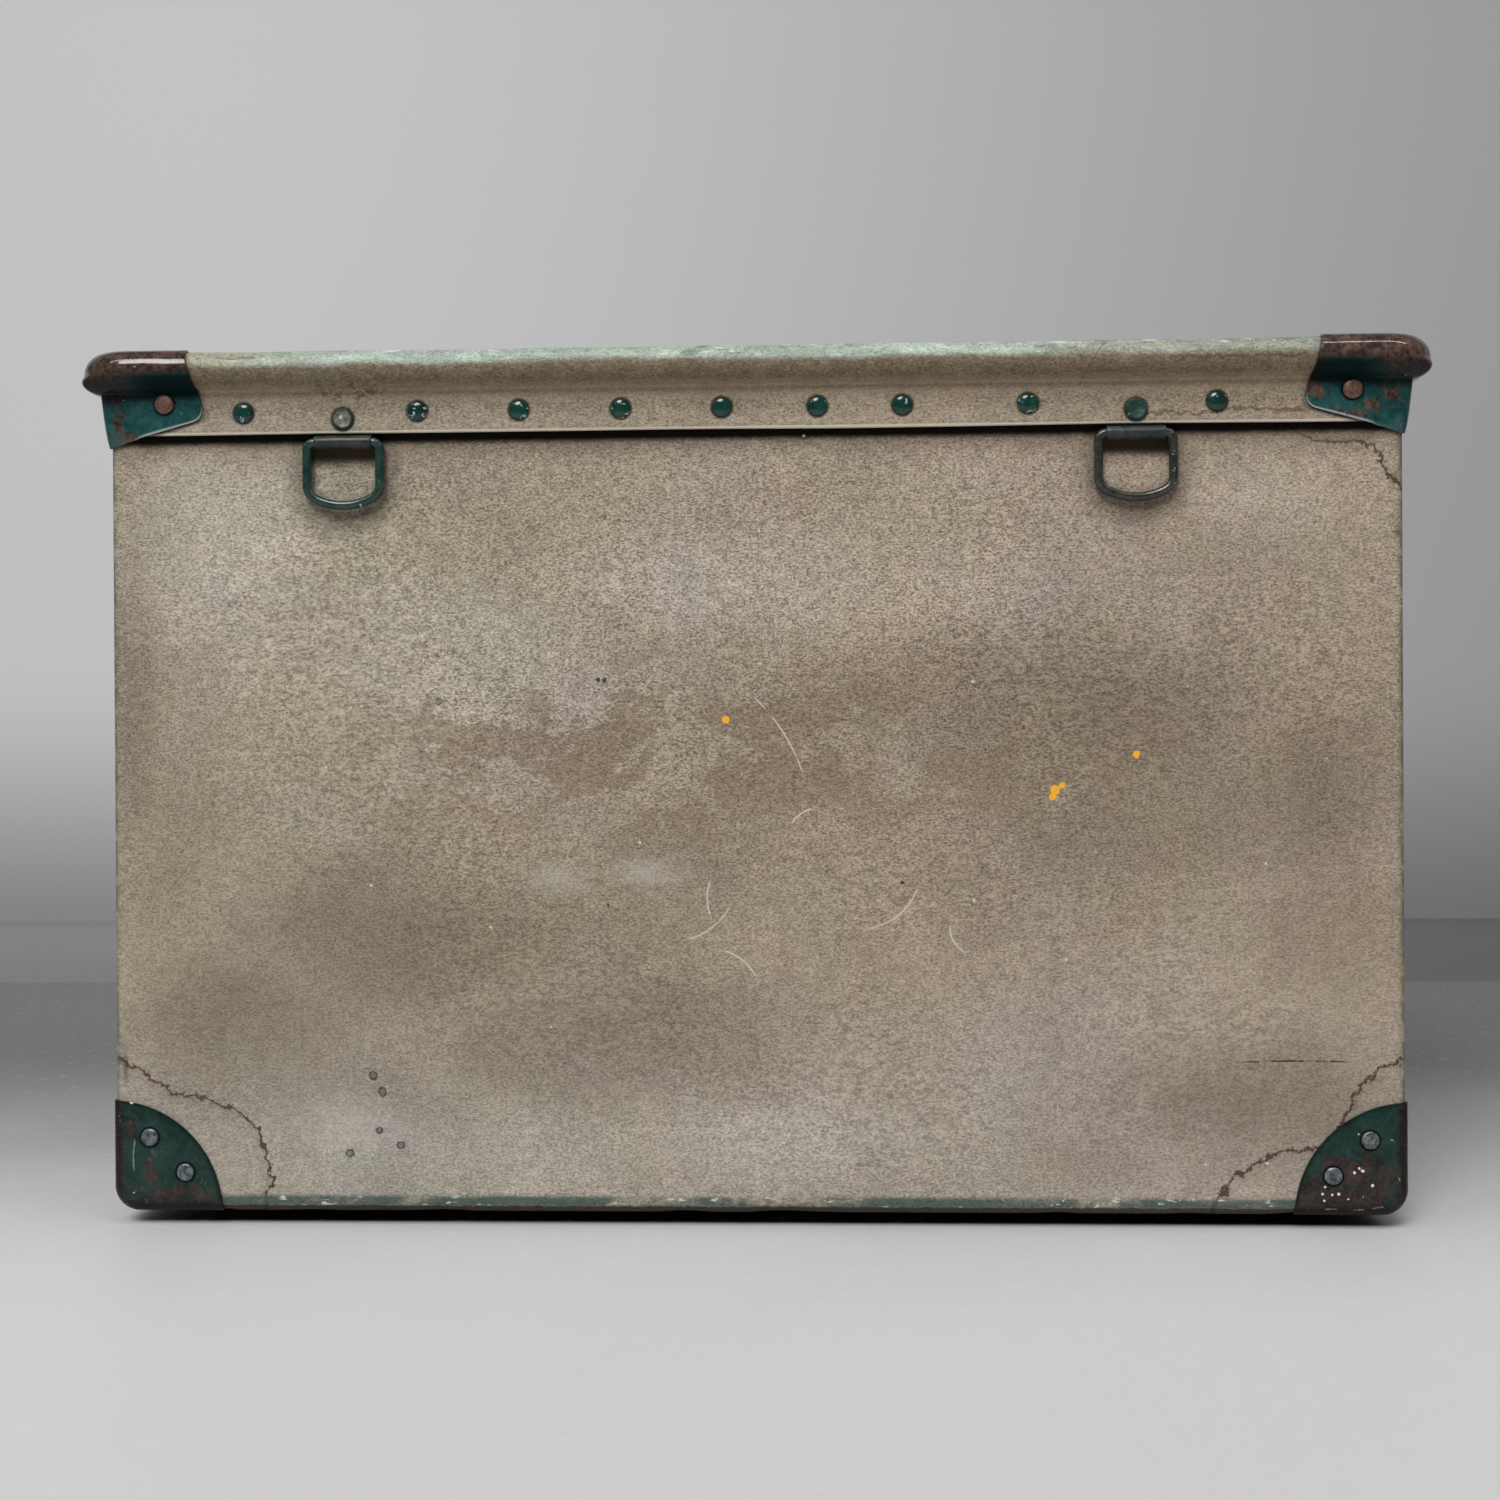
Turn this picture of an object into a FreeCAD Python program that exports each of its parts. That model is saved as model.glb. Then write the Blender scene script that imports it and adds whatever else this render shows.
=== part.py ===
import FreeCAD, Part
import math
import os

Vector = FreeCAD.Vector

# Open-topped storage box of vulcanised fibre. Millimetres, +Z up, front towards -Y.
# The origin is on the floor, under the middle of the box.

# Body: one folded sheet makes the front, floor and back, and its flanges wrap onto the ends
BODY_WIDTH = 770.0        # outside, along the front
BODY_DEPTH = 500.0        # outside, front to back
RIM_TOP = 523.6           # floor to the top of the rim bead
SHEET = 3.5               # fibre sheet
FOLD_RADIUS = 6.5         # outside radius of the upright bends and of the long base bends
END_RADIUS = 14.0         # outside radius of the base bends under the ends
FLANGE = 60.0             # flange width on the ends
NOTCH_MARGIN = 4.0        # the corner notch reaches this far past the end bend
LAP = 10.0                # joggled edge of an end panel behind its field
SEAM_GAP = 0.5            # slack between sheet edges that face each other
FLANGE_SET_DOWN = 6.0     # flange top below the collar

# Rim: a fibre strip folded over a round wooden bar, both legs riveted through the wall
STRIP = 2.4
BEAD_RADIUS = 11.2
CREASE_RADIUS = 2.2       # concave bend under the bead
COLLAR_DROP = 48.5        # bead top to the collar's lower edge
CORE_SLACK = 0.25
RIM_CORNER = 18.0         # plan radius of the bead's centre line round a corner

# Rim corner caps of pressed steel
CAP_STEEL = 1.2
CAP_FIT = 0.3             # room under the caps
CAP_LIP = 12.0            # inner lip below the bead's centre
CAP_TOP_REACH = 49.5      # along the bead, from the wall's end face
CAP_SKIRT_REACH = 61.0    # along the skirt's lower corner
CAP_EDGE_DROP = 41.0      # cap top to the skirt's lower corner
CAP_TIP_DROP = 57.5       # cap top to the tip on the box corner
CAP_ROUND = 7.0

# Base corner caps
BASE_CAP_REACH = 67.5
RUNNER_HEIGHT = 9.0
RUNNER_WIDTH = 40.0
RUNNER_INSET = 90.0       # runner's middle from the front or back face
RUNNER_SHORT = 75.0       # runner's end from the end face
RUNNER_BEVEL = 3.0

# D-rings and their clips
RING_WIDTH = 49.5
RING_WIRE = 5.7
RING_CORNER = 4.4         # centre line radius beside the bar
RING_SHOULDER = 31.0      # bar to the lower shoulders
RING_SHOULDER_RADIUS = 9.0
RING_POINT = 41.8         # bar to where the lower flanks would meet
RING_FLANK = 1.0          # straight stretch of a lower flank, between its two arcs
RING_SLACK = 0.25
RING_BELOW = 6.0          # bar below the collar's lower edge
CLIP_STEEL = 0.9
CLIP_SLACK = 0.2
CLIP_WIDTH = 34.5
CLIP_ABOVE_RIVET = 9.0
RING_PLACES = (-242.0 / 385.0, 228.0 / 385.0)    # shares of half the front

# Rivets: hand-set along the front, so their places are uneven
SHANK_RADIUS = 2.4
HOLE_SLACK = 0.1
BURR_RADIUS = 5.0
BURR_STEEL = 0.8
TAIL_RADIUS = 3.6
TAIL_HEIGHT = 1.5
HEAD_EDGE = 0.5
COLLAR_HEAD = (6.0, 2.6)  # radius and height
CLIP_HEAD = (6.6, 2.2)
CLIP_DISH = (4.6, 0.6)    # radius and depth of the dished top
RIM_CAP_HEAD = (6.0, 2.0)
BASE_CAP_HEAD = (5.4, 1.9)
SEAM_HEAD = (5.4, 2.2)
SCREW_HEAD = (4.5, 2.0)
COLLAR_RIVET_UP = 12.0    # above the collar's lower edge
CLIP_RIVET_UP = 7.8
RIM_CAP_RIVET_LEFT = 35.5     # left cap rivet of a side, from the wall's end face
RIM_CAP_RIVET_RIGHT = 31.5    # right one
RIM_CAP_RIVET_GAP = 0.2   # head below the crease
BASE_CAP_RIVETS = ((23.6, 45.5), (45.2, 24.5))    # from the cap's outer faces
FRONT_RIVETS = (-0.784, -0.512, -0.354, -0.196, -0.040, 0.107, 0.237, 0.429, 0.715)
END_RIVET_COUNT = 6
END_RIVET_MARGIN = 85.0   # first end rivet from the front or back face
SEAM_RIVET_COUNT = 6
SEAM_RIVET_LOW = 95.0     # lowest upright seam rivet above the base
SEAM_RIVET_HIGH = 30.0    # highest one below the flange top
SEAM_RIVET_IN = 32.0      # seam line from the box's edge
BASE_SEAM_COUNT = 5
BASE_SEAM_MARGIN = 100.0
SCREW_COUNT = 5
SCREW_MARGIN = 45.0       # first screw from the runner's end
SCREW_BITE = 6.5          # into the runner
SCREW_RADIUS = 1.9

# Places that follow from the sizes above
BASE_Z = RUNNER_HEIGHT
BEAD_Z = RIM_TOP - BEAD_RADIUS
BEAD_OUT = BEAD_RADIUS - SHEET - STRIP           # bead centre outside the wall's face
LEG_IN = 2 * CLIP_STEEL + CLIP_SLACK             # collar's outer leg, off the wall
LEG_OUT = LEG_IN + STRIP
INNER_FACE = SHEET + STRIP                       # collar's inner leg, inside the wall's face
COLLAR_Z = RIM_TOP - COLLAR_DROP
CORE_RADIUS = BEAD_RADIUS - STRIP - CORE_SLACK
WALL_TOP = BEAD_Z - math.sqrt(CORE_RADIUS ** 2 - BEAD_OUT ** 2) - CORE_SLACK
FLANGE_TOP = COLLAR_Z - FLANGE_SET_DOWN
NOTCH = END_RADIUS + NOTCH_MARGIN
CORNER_IN = RIM_CORNER - BEAD_OUT                # rim corner axis inside the wall's faces
CREASE_U = LEG_OUT + CREASE_RADIUS
CREASE_V = -math.sqrt((BEAD_RADIUS + CREASE_RADIUS) ** 2 - (CREASE_U - BEAD_OUT) ** 2)
CAP_OUT = CAP_FIT + CAP_STEEL
CAP_TOP = RIM_TOP + CAP_OUT
RIM_CAP_RIVET_Z = BEAD_Z + CREASE_V - RIM_CAP_RIVET_GAP - RIM_CAP_HEAD[0]
CLIP_BORE = RING_WIRE / 2 + RING_SLACK
CLIP_ROLL = CLIP_BORE + CLIP_STEEL
BAR_OUT = CLIP_SLACK / 2 + CLIP_ROLL             # ring bar off the wall
BAR_Z = COLLAR_Z - RING_BELOW
CLIP_RIVET_Z = COLLAR_Z + CLIP_RIVET_UP

# Each side: turn about Z from the front, length along the side, distance across the box
SIDES = {
    "front": (0, BODY_WIDTH, BODY_DEPTH),
    "right": (90, BODY_DEPTH, BODY_WIDTH),
    "back": (180, BODY_WIDTH, BODY_DEPTH),
    "left": (270, BODY_DEPTH, BODY_WIDTH),
}
CORNERS = {
    "front_right": (1, 1),
    "front_left": (-1, 1),
    "back_right": (1, -1),
    "back_left": (-1, -1),
}


# Helpers for outlines and placing

def rounded_wire(corners, to_space):
    """Closed wire through corners (a, b, radius), rounded; to_space maps (a, b) to a point."""
    spans = []
    count = len(corners)
    for i, (a, b, radius) in enumerate(corners):
        here = Vector(a, b, 0)
        before = Vector(*corners[i - 1][:2], 0) - here
        after = Vector(*corners[(i + 1) % count][:2], 0) - here
        if radius == 0:
            spans.append((here, None, here))
            continue
        half = before.getAngle(after) / 2
        before.normalize()
        after.normalize()
        inward = before + after
        inward.normalize()
        centre = here + inward * (radius / math.sin(half))
        reach = radius / math.tan(half)
        spans.append((here + before * reach, centre - inward * radius, here + after * reach))
    edges = []
    for i, (start, middle, end) in enumerate(spans):
        points = [to_space(p.x, p.y) for p in (start, middle, end) if p is not None]
        if middle is not None:
            edges.append(Part.Arc(*points).toShape())
        following = to_space(spans[(i + 1) % count][0].x, spans[(i + 1) % count][0].y)
        if (following - points[-1]).Length > 1e-6:
            edges.append(Part.LineSegment(points[-1], following).toShape())
    return Part.Wire(edges)


def slab(corners, to_space, sweep):
    """Solid of a rounded outline pushed along the vector sweep."""
    return Part.Face(rounded_wire(corners, to_space)).extrude(sweep)


def fused(shapes):
    return shapes[0].fuse(shapes[1:]).removeSplitter()


def turned(shape, side):
    """Copy of a front-side shape, turned to the named side."""
    copy = shape.copy()
    copy.rotate(Vector(0, 0, 0), Vector(0, 0, 1), SIDES[side][0])
    return copy


def to_corner(shape, corner):
    """Copy of a front right shape, mirrored to the named corner."""
    across, along = CORNERS[corner]
    copy = shape.copy()
    if across < 0:
        copy = copy.mirror(Vector(0, 0, 0), Vector(1, 0, 0))
    if along < 0:
        copy = copy.mirror(Vector(0, 0, 0), Vector(0, 1, 0))
    return copy


def drilled(piece, holes):
    """Piece with every hole that reaches it cut away."""
    near = [hole for hole in holes if piece.BoundBox.intersect(hole.BoundBox)]
    return piece.cut(near) if near else piece


def spread(first, last, count):
    return [first + (last - first) * i / (count - 1) for i in range(count)]


# Rivets: a seat at z = 0, the head above it and the tail below the grip

def revolved(edges):
    return Part.Face(Part.Wire(edges)).revolve(Vector(0, 0, 0), Vector(0, 0, 1), 360)


def dome(radius, edge, height, sense=1, seat=0.0):
    """Arc of a head or tail from its axis to its edge, in the XZ plane."""
    rise = height - edge
    ball = (radius ** 2 + rise ** 2) / (2 * rise)
    half = math.asin(radius / ball) / 2
    top = Vector(0, 0, seat + sense * height)
    middle = Vector(ball * math.sin(half), 0, seat + sense * (height - ball + ball * math.cos(half)))
    end = Vector(radius, 0, seat + sense * edge)
    return Part.Arc(top, middle, end).toShape()


def lines(*points):
    """Edges through points (r, z) of the XZ plane."""
    spots = [Vector(r, 0, z) for r, z in points]
    return [Part.LineSegment(a, b).toShape() for a, b in zip(spots, spots[1:])]


def tail_edges(grip):
    """Shank, tail and axis of a rivet, from the head's rim down."""
    tail = dome(TAIL_RADIUS, HEAD_EDGE, TAIL_HEIGHT, -1, -grip)
    edges = lines((SHANK_RADIUS, 0), (SHANK_RADIUS, -grip), (TAIL_RADIUS, -grip),
                  (TAIL_RADIUS, -grip - HEAD_EDGE))
    return edges + [tail]


def rivet(head, grip):
    radius, height = head
    edges = [dome(radius, HEAD_EDGE, height)]
    edges += lines((radius, HEAD_EDGE), (radius, 0), (SHANK_RADIUS, 0))
    edges += tail_edges(grip)
    edges += lines((0, -grip - TAIL_HEIGHT), (0, height))
    return revolved(Part.__sortEdges__(edges))


def dished_rivet(head, dish, grip):
    """Flat head with a raised rim round a shallow dish."""
    radius, height = head
    dish_radius, depth = dish
    floor = height - depth
    edges = lines((0, floor), (dish_radius - depth, floor), (dish_radius, height), (radius - depth, height),
                  (radius, height - depth), (radius, 0), (SHANK_RADIUS, 0))
    edges += tail_edges(grip)
    edges += lines((0, -grip - TAIL_HEIGHT), (0, floor))
    return revolved(Part.__sortEdges__(edges))


def screw():
    radius, height = SCREW_HEAD
    length = SHEET + SCREW_BITE
    edges = [dome(radius, HEAD_EDGE, height)]
    edges += lines((radius, HEAD_EDGE), (radius, 0), (SCREW_RADIUS, 0),
                   (SCREW_RADIUS, SCREW_RADIUS - length), (0, -length), (0, height))
    return revolved(Part.__sortEdges__(edges))


def burr(grip):
    """Washer between the sheet and the tail of a rivet."""
    ring = Part.makeCylinder(BURR_RADIUS, BURR_STEEL, Vector(0, 0, -grip))
    return ring.cut(Part.makeCylinder(SHANK_RADIUS + HOLE_SLACK, BURR_STEEL, Vector(0, 0, -grip)))


def hole(grip, radius=SHANK_RADIUS):
    return Part.makeCylinder(radius + HOLE_SLACK, grip, Vector(0, 0, -grip))


def on_side(shape, side, along, out, height):
    """Fastener placed on a side: along it from its middle, out from the wall's face, at a height."""
    copy = shape.copy()
    copy.rotate(Vector(0, 0, 0), Vector(1, 0, 0), 90)
    copy.translate(Vector(along, -SIDES[side][2] / 2 - out, height))
    return turned(copy, side)


# Body sheets

def main_sheet():
    half_w = BODY_WIDTH / 2
    half_d = BODY_DEPTH / 2
    inner_fold = FOLD_RADIUS - SHEET
    flat = half_w - END_RADIUS
    floor = BASE_Z + SHEET
    section = [(-half_d, WALL_TOP, 0), (-half_d, BASE_Z, FOLD_RADIUS), (half_d, BASE_Z, FOLD_RADIUS),
               (half_d, WALL_TOP, 0), (half_d - SHEET, WALL_TOP, 0), (half_d - SHEET, floor, inner_fold),
               (SHEET - half_d, floor, inner_fold), (SHEET - half_d, WALL_TOP, 0)]
    trough = slab(section, lambda y, z: Vector(-flat, y, z), Vector(2 * flat, 0, 0))
    upright = WALL_TOP - BASE_Z - NOTCH
    wall_end = Part.makeBox(END_RADIUS - FOLD_RADIUS, SHEET, upright, Vector(flat, -half_d, BASE_Z + NOTCH))
    axis = Vector(half_w - FOLD_RADIUS, FOLD_RADIUS - half_d, BASE_Z + NOTCH)
    bend = Part.makeCylinder(FOLD_RADIUS, upright, axis, Vector(0, 0, 1), 90)
    bend = bend.cut(Part.makeCylinder(inner_fold, upright, axis))
    bend.rotate(axis, Vector(0, 0, 1), -90)

    def on_end(t, h):
        return Vector(half_w - SHEET, t - half_d, BASE_Z + h)

    push = Vector(SHEET, 0, 0)
    top = FLANGE_TOP - BASE_Z
    side_flange = slab([(FOLD_RADIUS, NOTCH, 0), (NOTCH - SEAM_GAP, NOTCH, 0),
                        (FLANGE, FLANGE + SEAM_GAP, 0), (FLANGE, top, 0), (FOLD_RADIUS, top, 0)],
                       on_end, push)
    end_axis = Vector(flat, NOTCH - half_d, BASE_Z + END_RADIUS)
    run = BODY_DEPTH - 2 * NOTCH
    end_bend = Part.makeCylinder(END_RADIUS, run, end_axis, Vector(0, 1, 0))
    end_bend = end_bend.cut(Part.makeCylinder(END_RADIUS - SHEET, run, end_axis, Vector(0, 1, 0)))
    end_bend = end_bend.common(Part.makeBox(END_RADIUS, run, END_RADIUS,
                                            Vector(flat, NOTCH - half_d, BASE_Z)))
    low = NOTCH - SEAM_GAP
    high = FLANGE + SEAM_GAP
    base_flange = slab([(NOTCH, END_RADIUS, 0), (BODY_DEPTH - NOTCH, END_RADIUS, 0),
                        (BODY_DEPTH - NOTCH, low, 0), (BODY_DEPTH - high, FLANGE, 0), (high, FLANGE, 0),
                        (NOTCH, low, 0)], on_end, push)
    corner = fused([wall_end, bend, side_flange])
    pieces = [trough]
    pieces += [to_corner(corner, name) for name in CORNERS]
    for name in ("front_right", "front_left"):
        pieces += [to_corner(end_bend, name), to_corner(base_flange, name)]
    return fused(pieces)


def end_panel():
    """Right end panel: a field flush with the flanges, and a joggled edge behind them."""
    half_w = BODY_WIDTH / 2
    half_d = BODY_DEPTH / 2
    inner = FLANGE + SEAM_GAP
    edge = FOLD_RADIUS + SEAM_GAP
    shelf = FLANGE_TOP - BASE_Z + SEAM_GAP
    top = WALL_TOP - BASE_Z
    field = slab([(inner, inner, 0), (BODY_DEPTH - inner, inner, 0), (BODY_DEPTH - inner, shelf, 0),
                  (BODY_DEPTH - edge, shelf, 0), (BODY_DEPTH - edge, top, 0), (edge, top, 0),
                  (edge, shelf, 0), (inner, shelf, 0)],
                 lambda t, h: Vector(half_w - SHEET, t - half_d, BASE_Z + h), Vector(SHEET, 0, 0))
    lap = FLANGE + LAP
    foot = END_RADIUS + SEAM_GAP
    shoulder = FLANGE_TOP - BASE_Z
    joggle = slab([(edge, foot, 0), (BODY_DEPTH - edge, foot, 0), (BODY_DEPTH - edge, shoulder, 0),
                   (BODY_DEPTH - lap, shoulder, 0), (BODY_DEPTH - lap, lap, 0), (lap, lap, 0),
                   (lap, shoulder, 0), (edge, shoulder, 0)],
                  lambda t, h: Vector(half_w - 2 * SHEET, t - half_d, BASE_Z + h), Vector(SHEET, 0, 0))
    return fused([field, joggle])


# Rim

def rim_path(offset, inner_drop, outer_drop, to_space):
    """Edges along the strip's face, offset outwards: inner leg, over the bead, crease and outer leg."""
    radius = BEAD_RADIUS + offset
    crease = CREASE_RADIUS - offset
    turn = math.atan2(CREASE_V, CREASE_U - BEAD_OUT)

    def on_bead(angle):
        return to_space(BEAD_OUT + radius * math.cos(angle), radius * math.sin(angle))

    def on_crease(angle):
        return to_space(CREASE_U + crease * math.cos(angle), CREASE_V + crease * math.sin(angle))

    inner_u = BEAD_OUT - radius
    outer_u = LEG_OUT + offset
    over = (math.pi + turn) / 2
    under = (turn + 2 * math.pi) / 2
    return [
        Part.LineSegment(to_space(inner_u, -inner_drop), on_bead(math.pi)).toShape(),
        Part.Arc(on_bead(math.pi), on_bead(over), on_bead(turn)).toShape(),
        Part.Arc(on_crease(turn + math.pi), on_crease(under), on_crease(math.pi)).toShape(),
        Part.LineSegment(on_crease(math.pi), to_space(outer_u, -outer_drop)).toShape(),
    ]


def rim_section(low, high, inner_drop, outer_drop, across, along):
    """Face between two offsets of the strip's outer face, on the front side at a place along it."""
    def to_space(u, v):
        return Vector(along, -across / 2 - u, BEAD_Z + v)

    def end_line(drop, inside):
        def face_u(offset):
            return BEAD_OUT - BEAD_RADIUS - offset if inside else LEG_OUT + offset
        return Part.LineSegment(to_space(face_u(low), -drop), to_space(face_u(high), -drop)).toShape()

    edges = rim_path(low, inner_drop, outer_drop, to_space)
    edges += rim_path(high, inner_drop, outer_drop, to_space)
    edges += [end_line(inner_drop, True), end_line(outer_drop, False)]
    return Part.Face(Part.Wire(Part.__sortEdges__(edges)))


def rim_run(side):
    """Straight length of the rim along a side, between the corners' axes."""
    return SIDES[side][1] - 2 * CORNER_IN


def rim_collar(side):
    run = rim_run(side)
    drop = BEAD_Z - COLLAR_Z
    section = rim_section(-STRIP, 0.0, drop, drop, SIDES[side][2], -run / 2)
    return turned(section.extrude(Vector(run, 0, 0)), side)


def rim_core(side):
    run = rim_run(side)
    start = Vector(-run / 2, -SIDES[side][2] / 2 - BEAD_OUT, BEAD_Z)
    return turned(Part.makeCylinder(CORE_RADIUS, run, start, Vector(1, 0, 0)), side)


def rim_cap():
    """Front right cap: two arms and a quarter turn over the bead, trimmed to the skirt's outline."""
    half_w = BODY_WIDTH / 2
    half_d = BODY_DEPTH / 2
    margin = 2 * RIM_CORNER
    deep = CAP_TIP_DROP + margin
    section = rim_section(CAP_FIT, CAP_OUT, CAP_LIP, deep, BODY_DEPTH, half_w - CORNER_IN)
    axis = Vector(half_w - CORNER_IN, CORNER_IN - half_d, 0)
    arm = section.extrude(Vector(-CAP_SKIRT_REACH, 0, 0))
    turn = section.revolve(axis, Vector(0, 0, 1), 90)
    swap_at = Vector(half_w, -half_d, 0)
    swap = Vector(1, 1, 0)
    shell = fused([arm, turn, arm.mirror(swap_at, swap)])
    slope = (CAP_TIP_DROP - CAP_EDGE_DROP) / CAP_SKIRT_REACH
    outline = [(-margin, -margin, 0), (CAP_TOP_REACH, -margin, 0), (CAP_TOP_REACH, 0, 0),
               (CAP_SKIRT_REACH, CAP_EDGE_DROP, CAP_ROUND), (-margin, CAP_TIP_DROP + slope * margin, 0)]
    trim = slab(outline, lambda s, d: Vector(half_w - s, -half_d - margin, CAP_TOP - d),
                Vector(0, CAP_SKIRT_REACH + 2 * margin, 0))
    return shell.common(trim).common(trim.mirror(swap_at, swap))


# Base

def base_corner(grow):
    """Block over the front right base corner, grown outwards, with the box's own bends on its edges."""
    size = 2 * BASE_CAP_REACH
    tip = Vector(BODY_WIDTH / 2 + grow, -BODY_DEPTH / 2 - grow, BASE_Z - grow)
    block = Part.makeBox(size, size, size, tip - Vector(size, 0, 0))

    def edge_at(shape, point):
        spot = Part.Vertex(point)
        return min(shape.Edges, key=lambda e: e.distToShape(spot)[0])

    block = block.makeFillet(END_RADIUS + grow, [edge_at(block, tip + Vector(0, size / 2, 0))])
    return block.makeFillet(FOLD_RADIUS + grow, [edge_at(block, tip + Vector(0, 0, size / 2))])


def base_cap():
    tip = Vector(BODY_WIDTH / 2 + CAP_OUT, -BODY_DEPTH / 2 - CAP_OUT, BASE_Z - CAP_OUT)
    shell = base_corner(CAP_OUT).cut(base_corner(CAP_FIT))
    return shell.common(Part.makeSphere(BASE_CAP_REACH, tip))


def base_runner():
    """Front runner: a bevelled batten under the floor."""
    half = BODY_WIDTH / 2 - RUNNER_SHORT
    middle = RUNNER_INSET - BODY_DEPTH / 2
    outline = [(-half, BASE_Z, 0), (half, BASE_Z, 0), (half, RUNNER_BEVEL, 0), (half - RUNNER_BEVEL, 0, 0),
               (RUNNER_BEVEL - half, 0, 0), (-half, RUNNER_BEVEL, 0)]
    return slab(outline, lambda x, z: Vector(x, middle - RUNNER_WIDTH / 2, z), Vector(0, RUNNER_WIDTH, 0))


# D-rings and clips

def d_ring(along):
    """Closed wire loop on the front, hanging from its straight bar."""
    reach = (RING_WIDTH - RING_WIRE) / 2
    fall = RING_POINT - RING_SHOULDER
    half_point = math.atan2(reach, fall)
    shoulder_reach = RING_SHOULDER_RADIUS * math.tan(half_point / 2)
    point_radius = (math.hypot(reach, fall) - shoulder_reach - RING_FLANK) * math.tan(half_point)

    def to_space(x, z):
        return Vector(along + x, -BODY_DEPTH / 2 - BAR_OUT, BAR_Z + z)

    loop = rounded_wire([(-reach, 0, RING_CORNER), (reach, 0, RING_CORNER),
                         (reach, -RING_SHOULDER, RING_SHOULDER_RADIUS), (0, -RING_POINT, point_radius),
                         (-reach, -RING_SHOULDER, RING_SHOULDER_RADIUS)], to_space)
    disc = Part.makeCircle(RING_WIRE / 2, to_space(0, 0), Vector(1, 0, 0))
    return loop.makePipeShell([Part.Wire(disc)], True, False)


def ring_clip(along):
    """Strip folded round the ring's bar, with both legs up behind the collar."""
    face_y = -BODY_DEPTH / 2
    start = Vector(along - CLIP_WIDTH / 2, face_y - BAR_OUT, BAR_Z)
    roll = Part.makeCylinder(CLIP_ROLL, CLIP_WIDTH, start, Vector(1, 0, 0))
    bore = Part.makeCylinder(CLIP_BORE, CLIP_WIDTH, start, Vector(1, 0, 0))
    thick = 2 * CLIP_STEEL
    height = CLIP_RIVET_Z + CLIP_ABOVE_RIVET - BAR_Z
    legs = Part.makeBox(CLIP_WIDTH, thick, height,
                        Vector(along - CLIP_WIDTH / 2, face_y - CLIP_SLACK / 2 - thick, BAR_Z))
    return fused([roll, legs]).cut(bore)


# Fastener patterns

def collar_places(side):
    """Places along a side of the plain collar rivets."""
    half = SIDES[side][1] / 2
    if side in ("front", "back"):
        return [share * half for share in FRONT_RIVETS]
    return spread(END_RIVET_MARGIN - half, half - END_RIVET_MARGIN, END_RIVET_COUNT)


def seam_places(side):
    """Places on an end of the seam rivets: two upright rows and one along the base."""
    half = SIDES[side][1] / 2
    heights = spread(BASE_Z + SEAM_RIVET_LOW, FLANGE_TOP - SEAM_RIVET_HIGH, SEAM_RIVET_COUNT)
    upright = [(sense * (half - SEAM_RIVET_IN), z) for sense in (-1, 1) for z in heights]
    row = spread(BASE_SEAM_MARGIN - half, half - BASE_SEAM_MARGIN, BASE_SEAM_COUNT)
    return upright + [(along, BASE_Z + SEAM_RIVET_IN) for along in row]


def base_cap_fasteners(make, front_grip, end_grip, floor_grip):
    """One fastener for each base cap rivet on the front, end and underside of every corner."""
    tip = Vector(BODY_WIDTH / 2 + CAP_OUT, -BODY_DEPTH / 2 - CAP_OUT, BASE_Z - CAP_OUT)
    placed = []
    for near, far in BASE_CAP_RIVETS:
        front = make(front_grip)
        front.rotate(Vector(0, 0, 0), Vector(1, 0, 0), 90)
        front.translate(tip + Vector(-near, 0, far))
        end = make(end_grip)
        end.rotate(Vector(0, 0, 0), Vector(0, 1, 0), 90)
        end.translate(tip + Vector(0, near, far))
        floor = make(floor_grip)
        floor.rotate(Vector(0, 0, 0), Vector(1, 0, 0), 180)
        floor.translate(tip + Vector(-near, far, 0))
        placed += [front, end, floor]
    return [to_corner(shape, corner) for corner in CORNERS for shape in placed]


def screw_places():
    half = BODY_WIDTH / 2 - RUNNER_SHORT - SCREW_MARGIN
    middle = BODY_DEPTH / 2 - RUNNER_INSET
    row = spread(-half, half, SCREW_COUNT)
    return [Vector(x, sense * middle, BASE_Z + SHEET) for sense in (-1, 1) for x in row]


def moved(shape, place):
    copy = shape.copy()
    copy.translate(place)
    return copy


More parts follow.
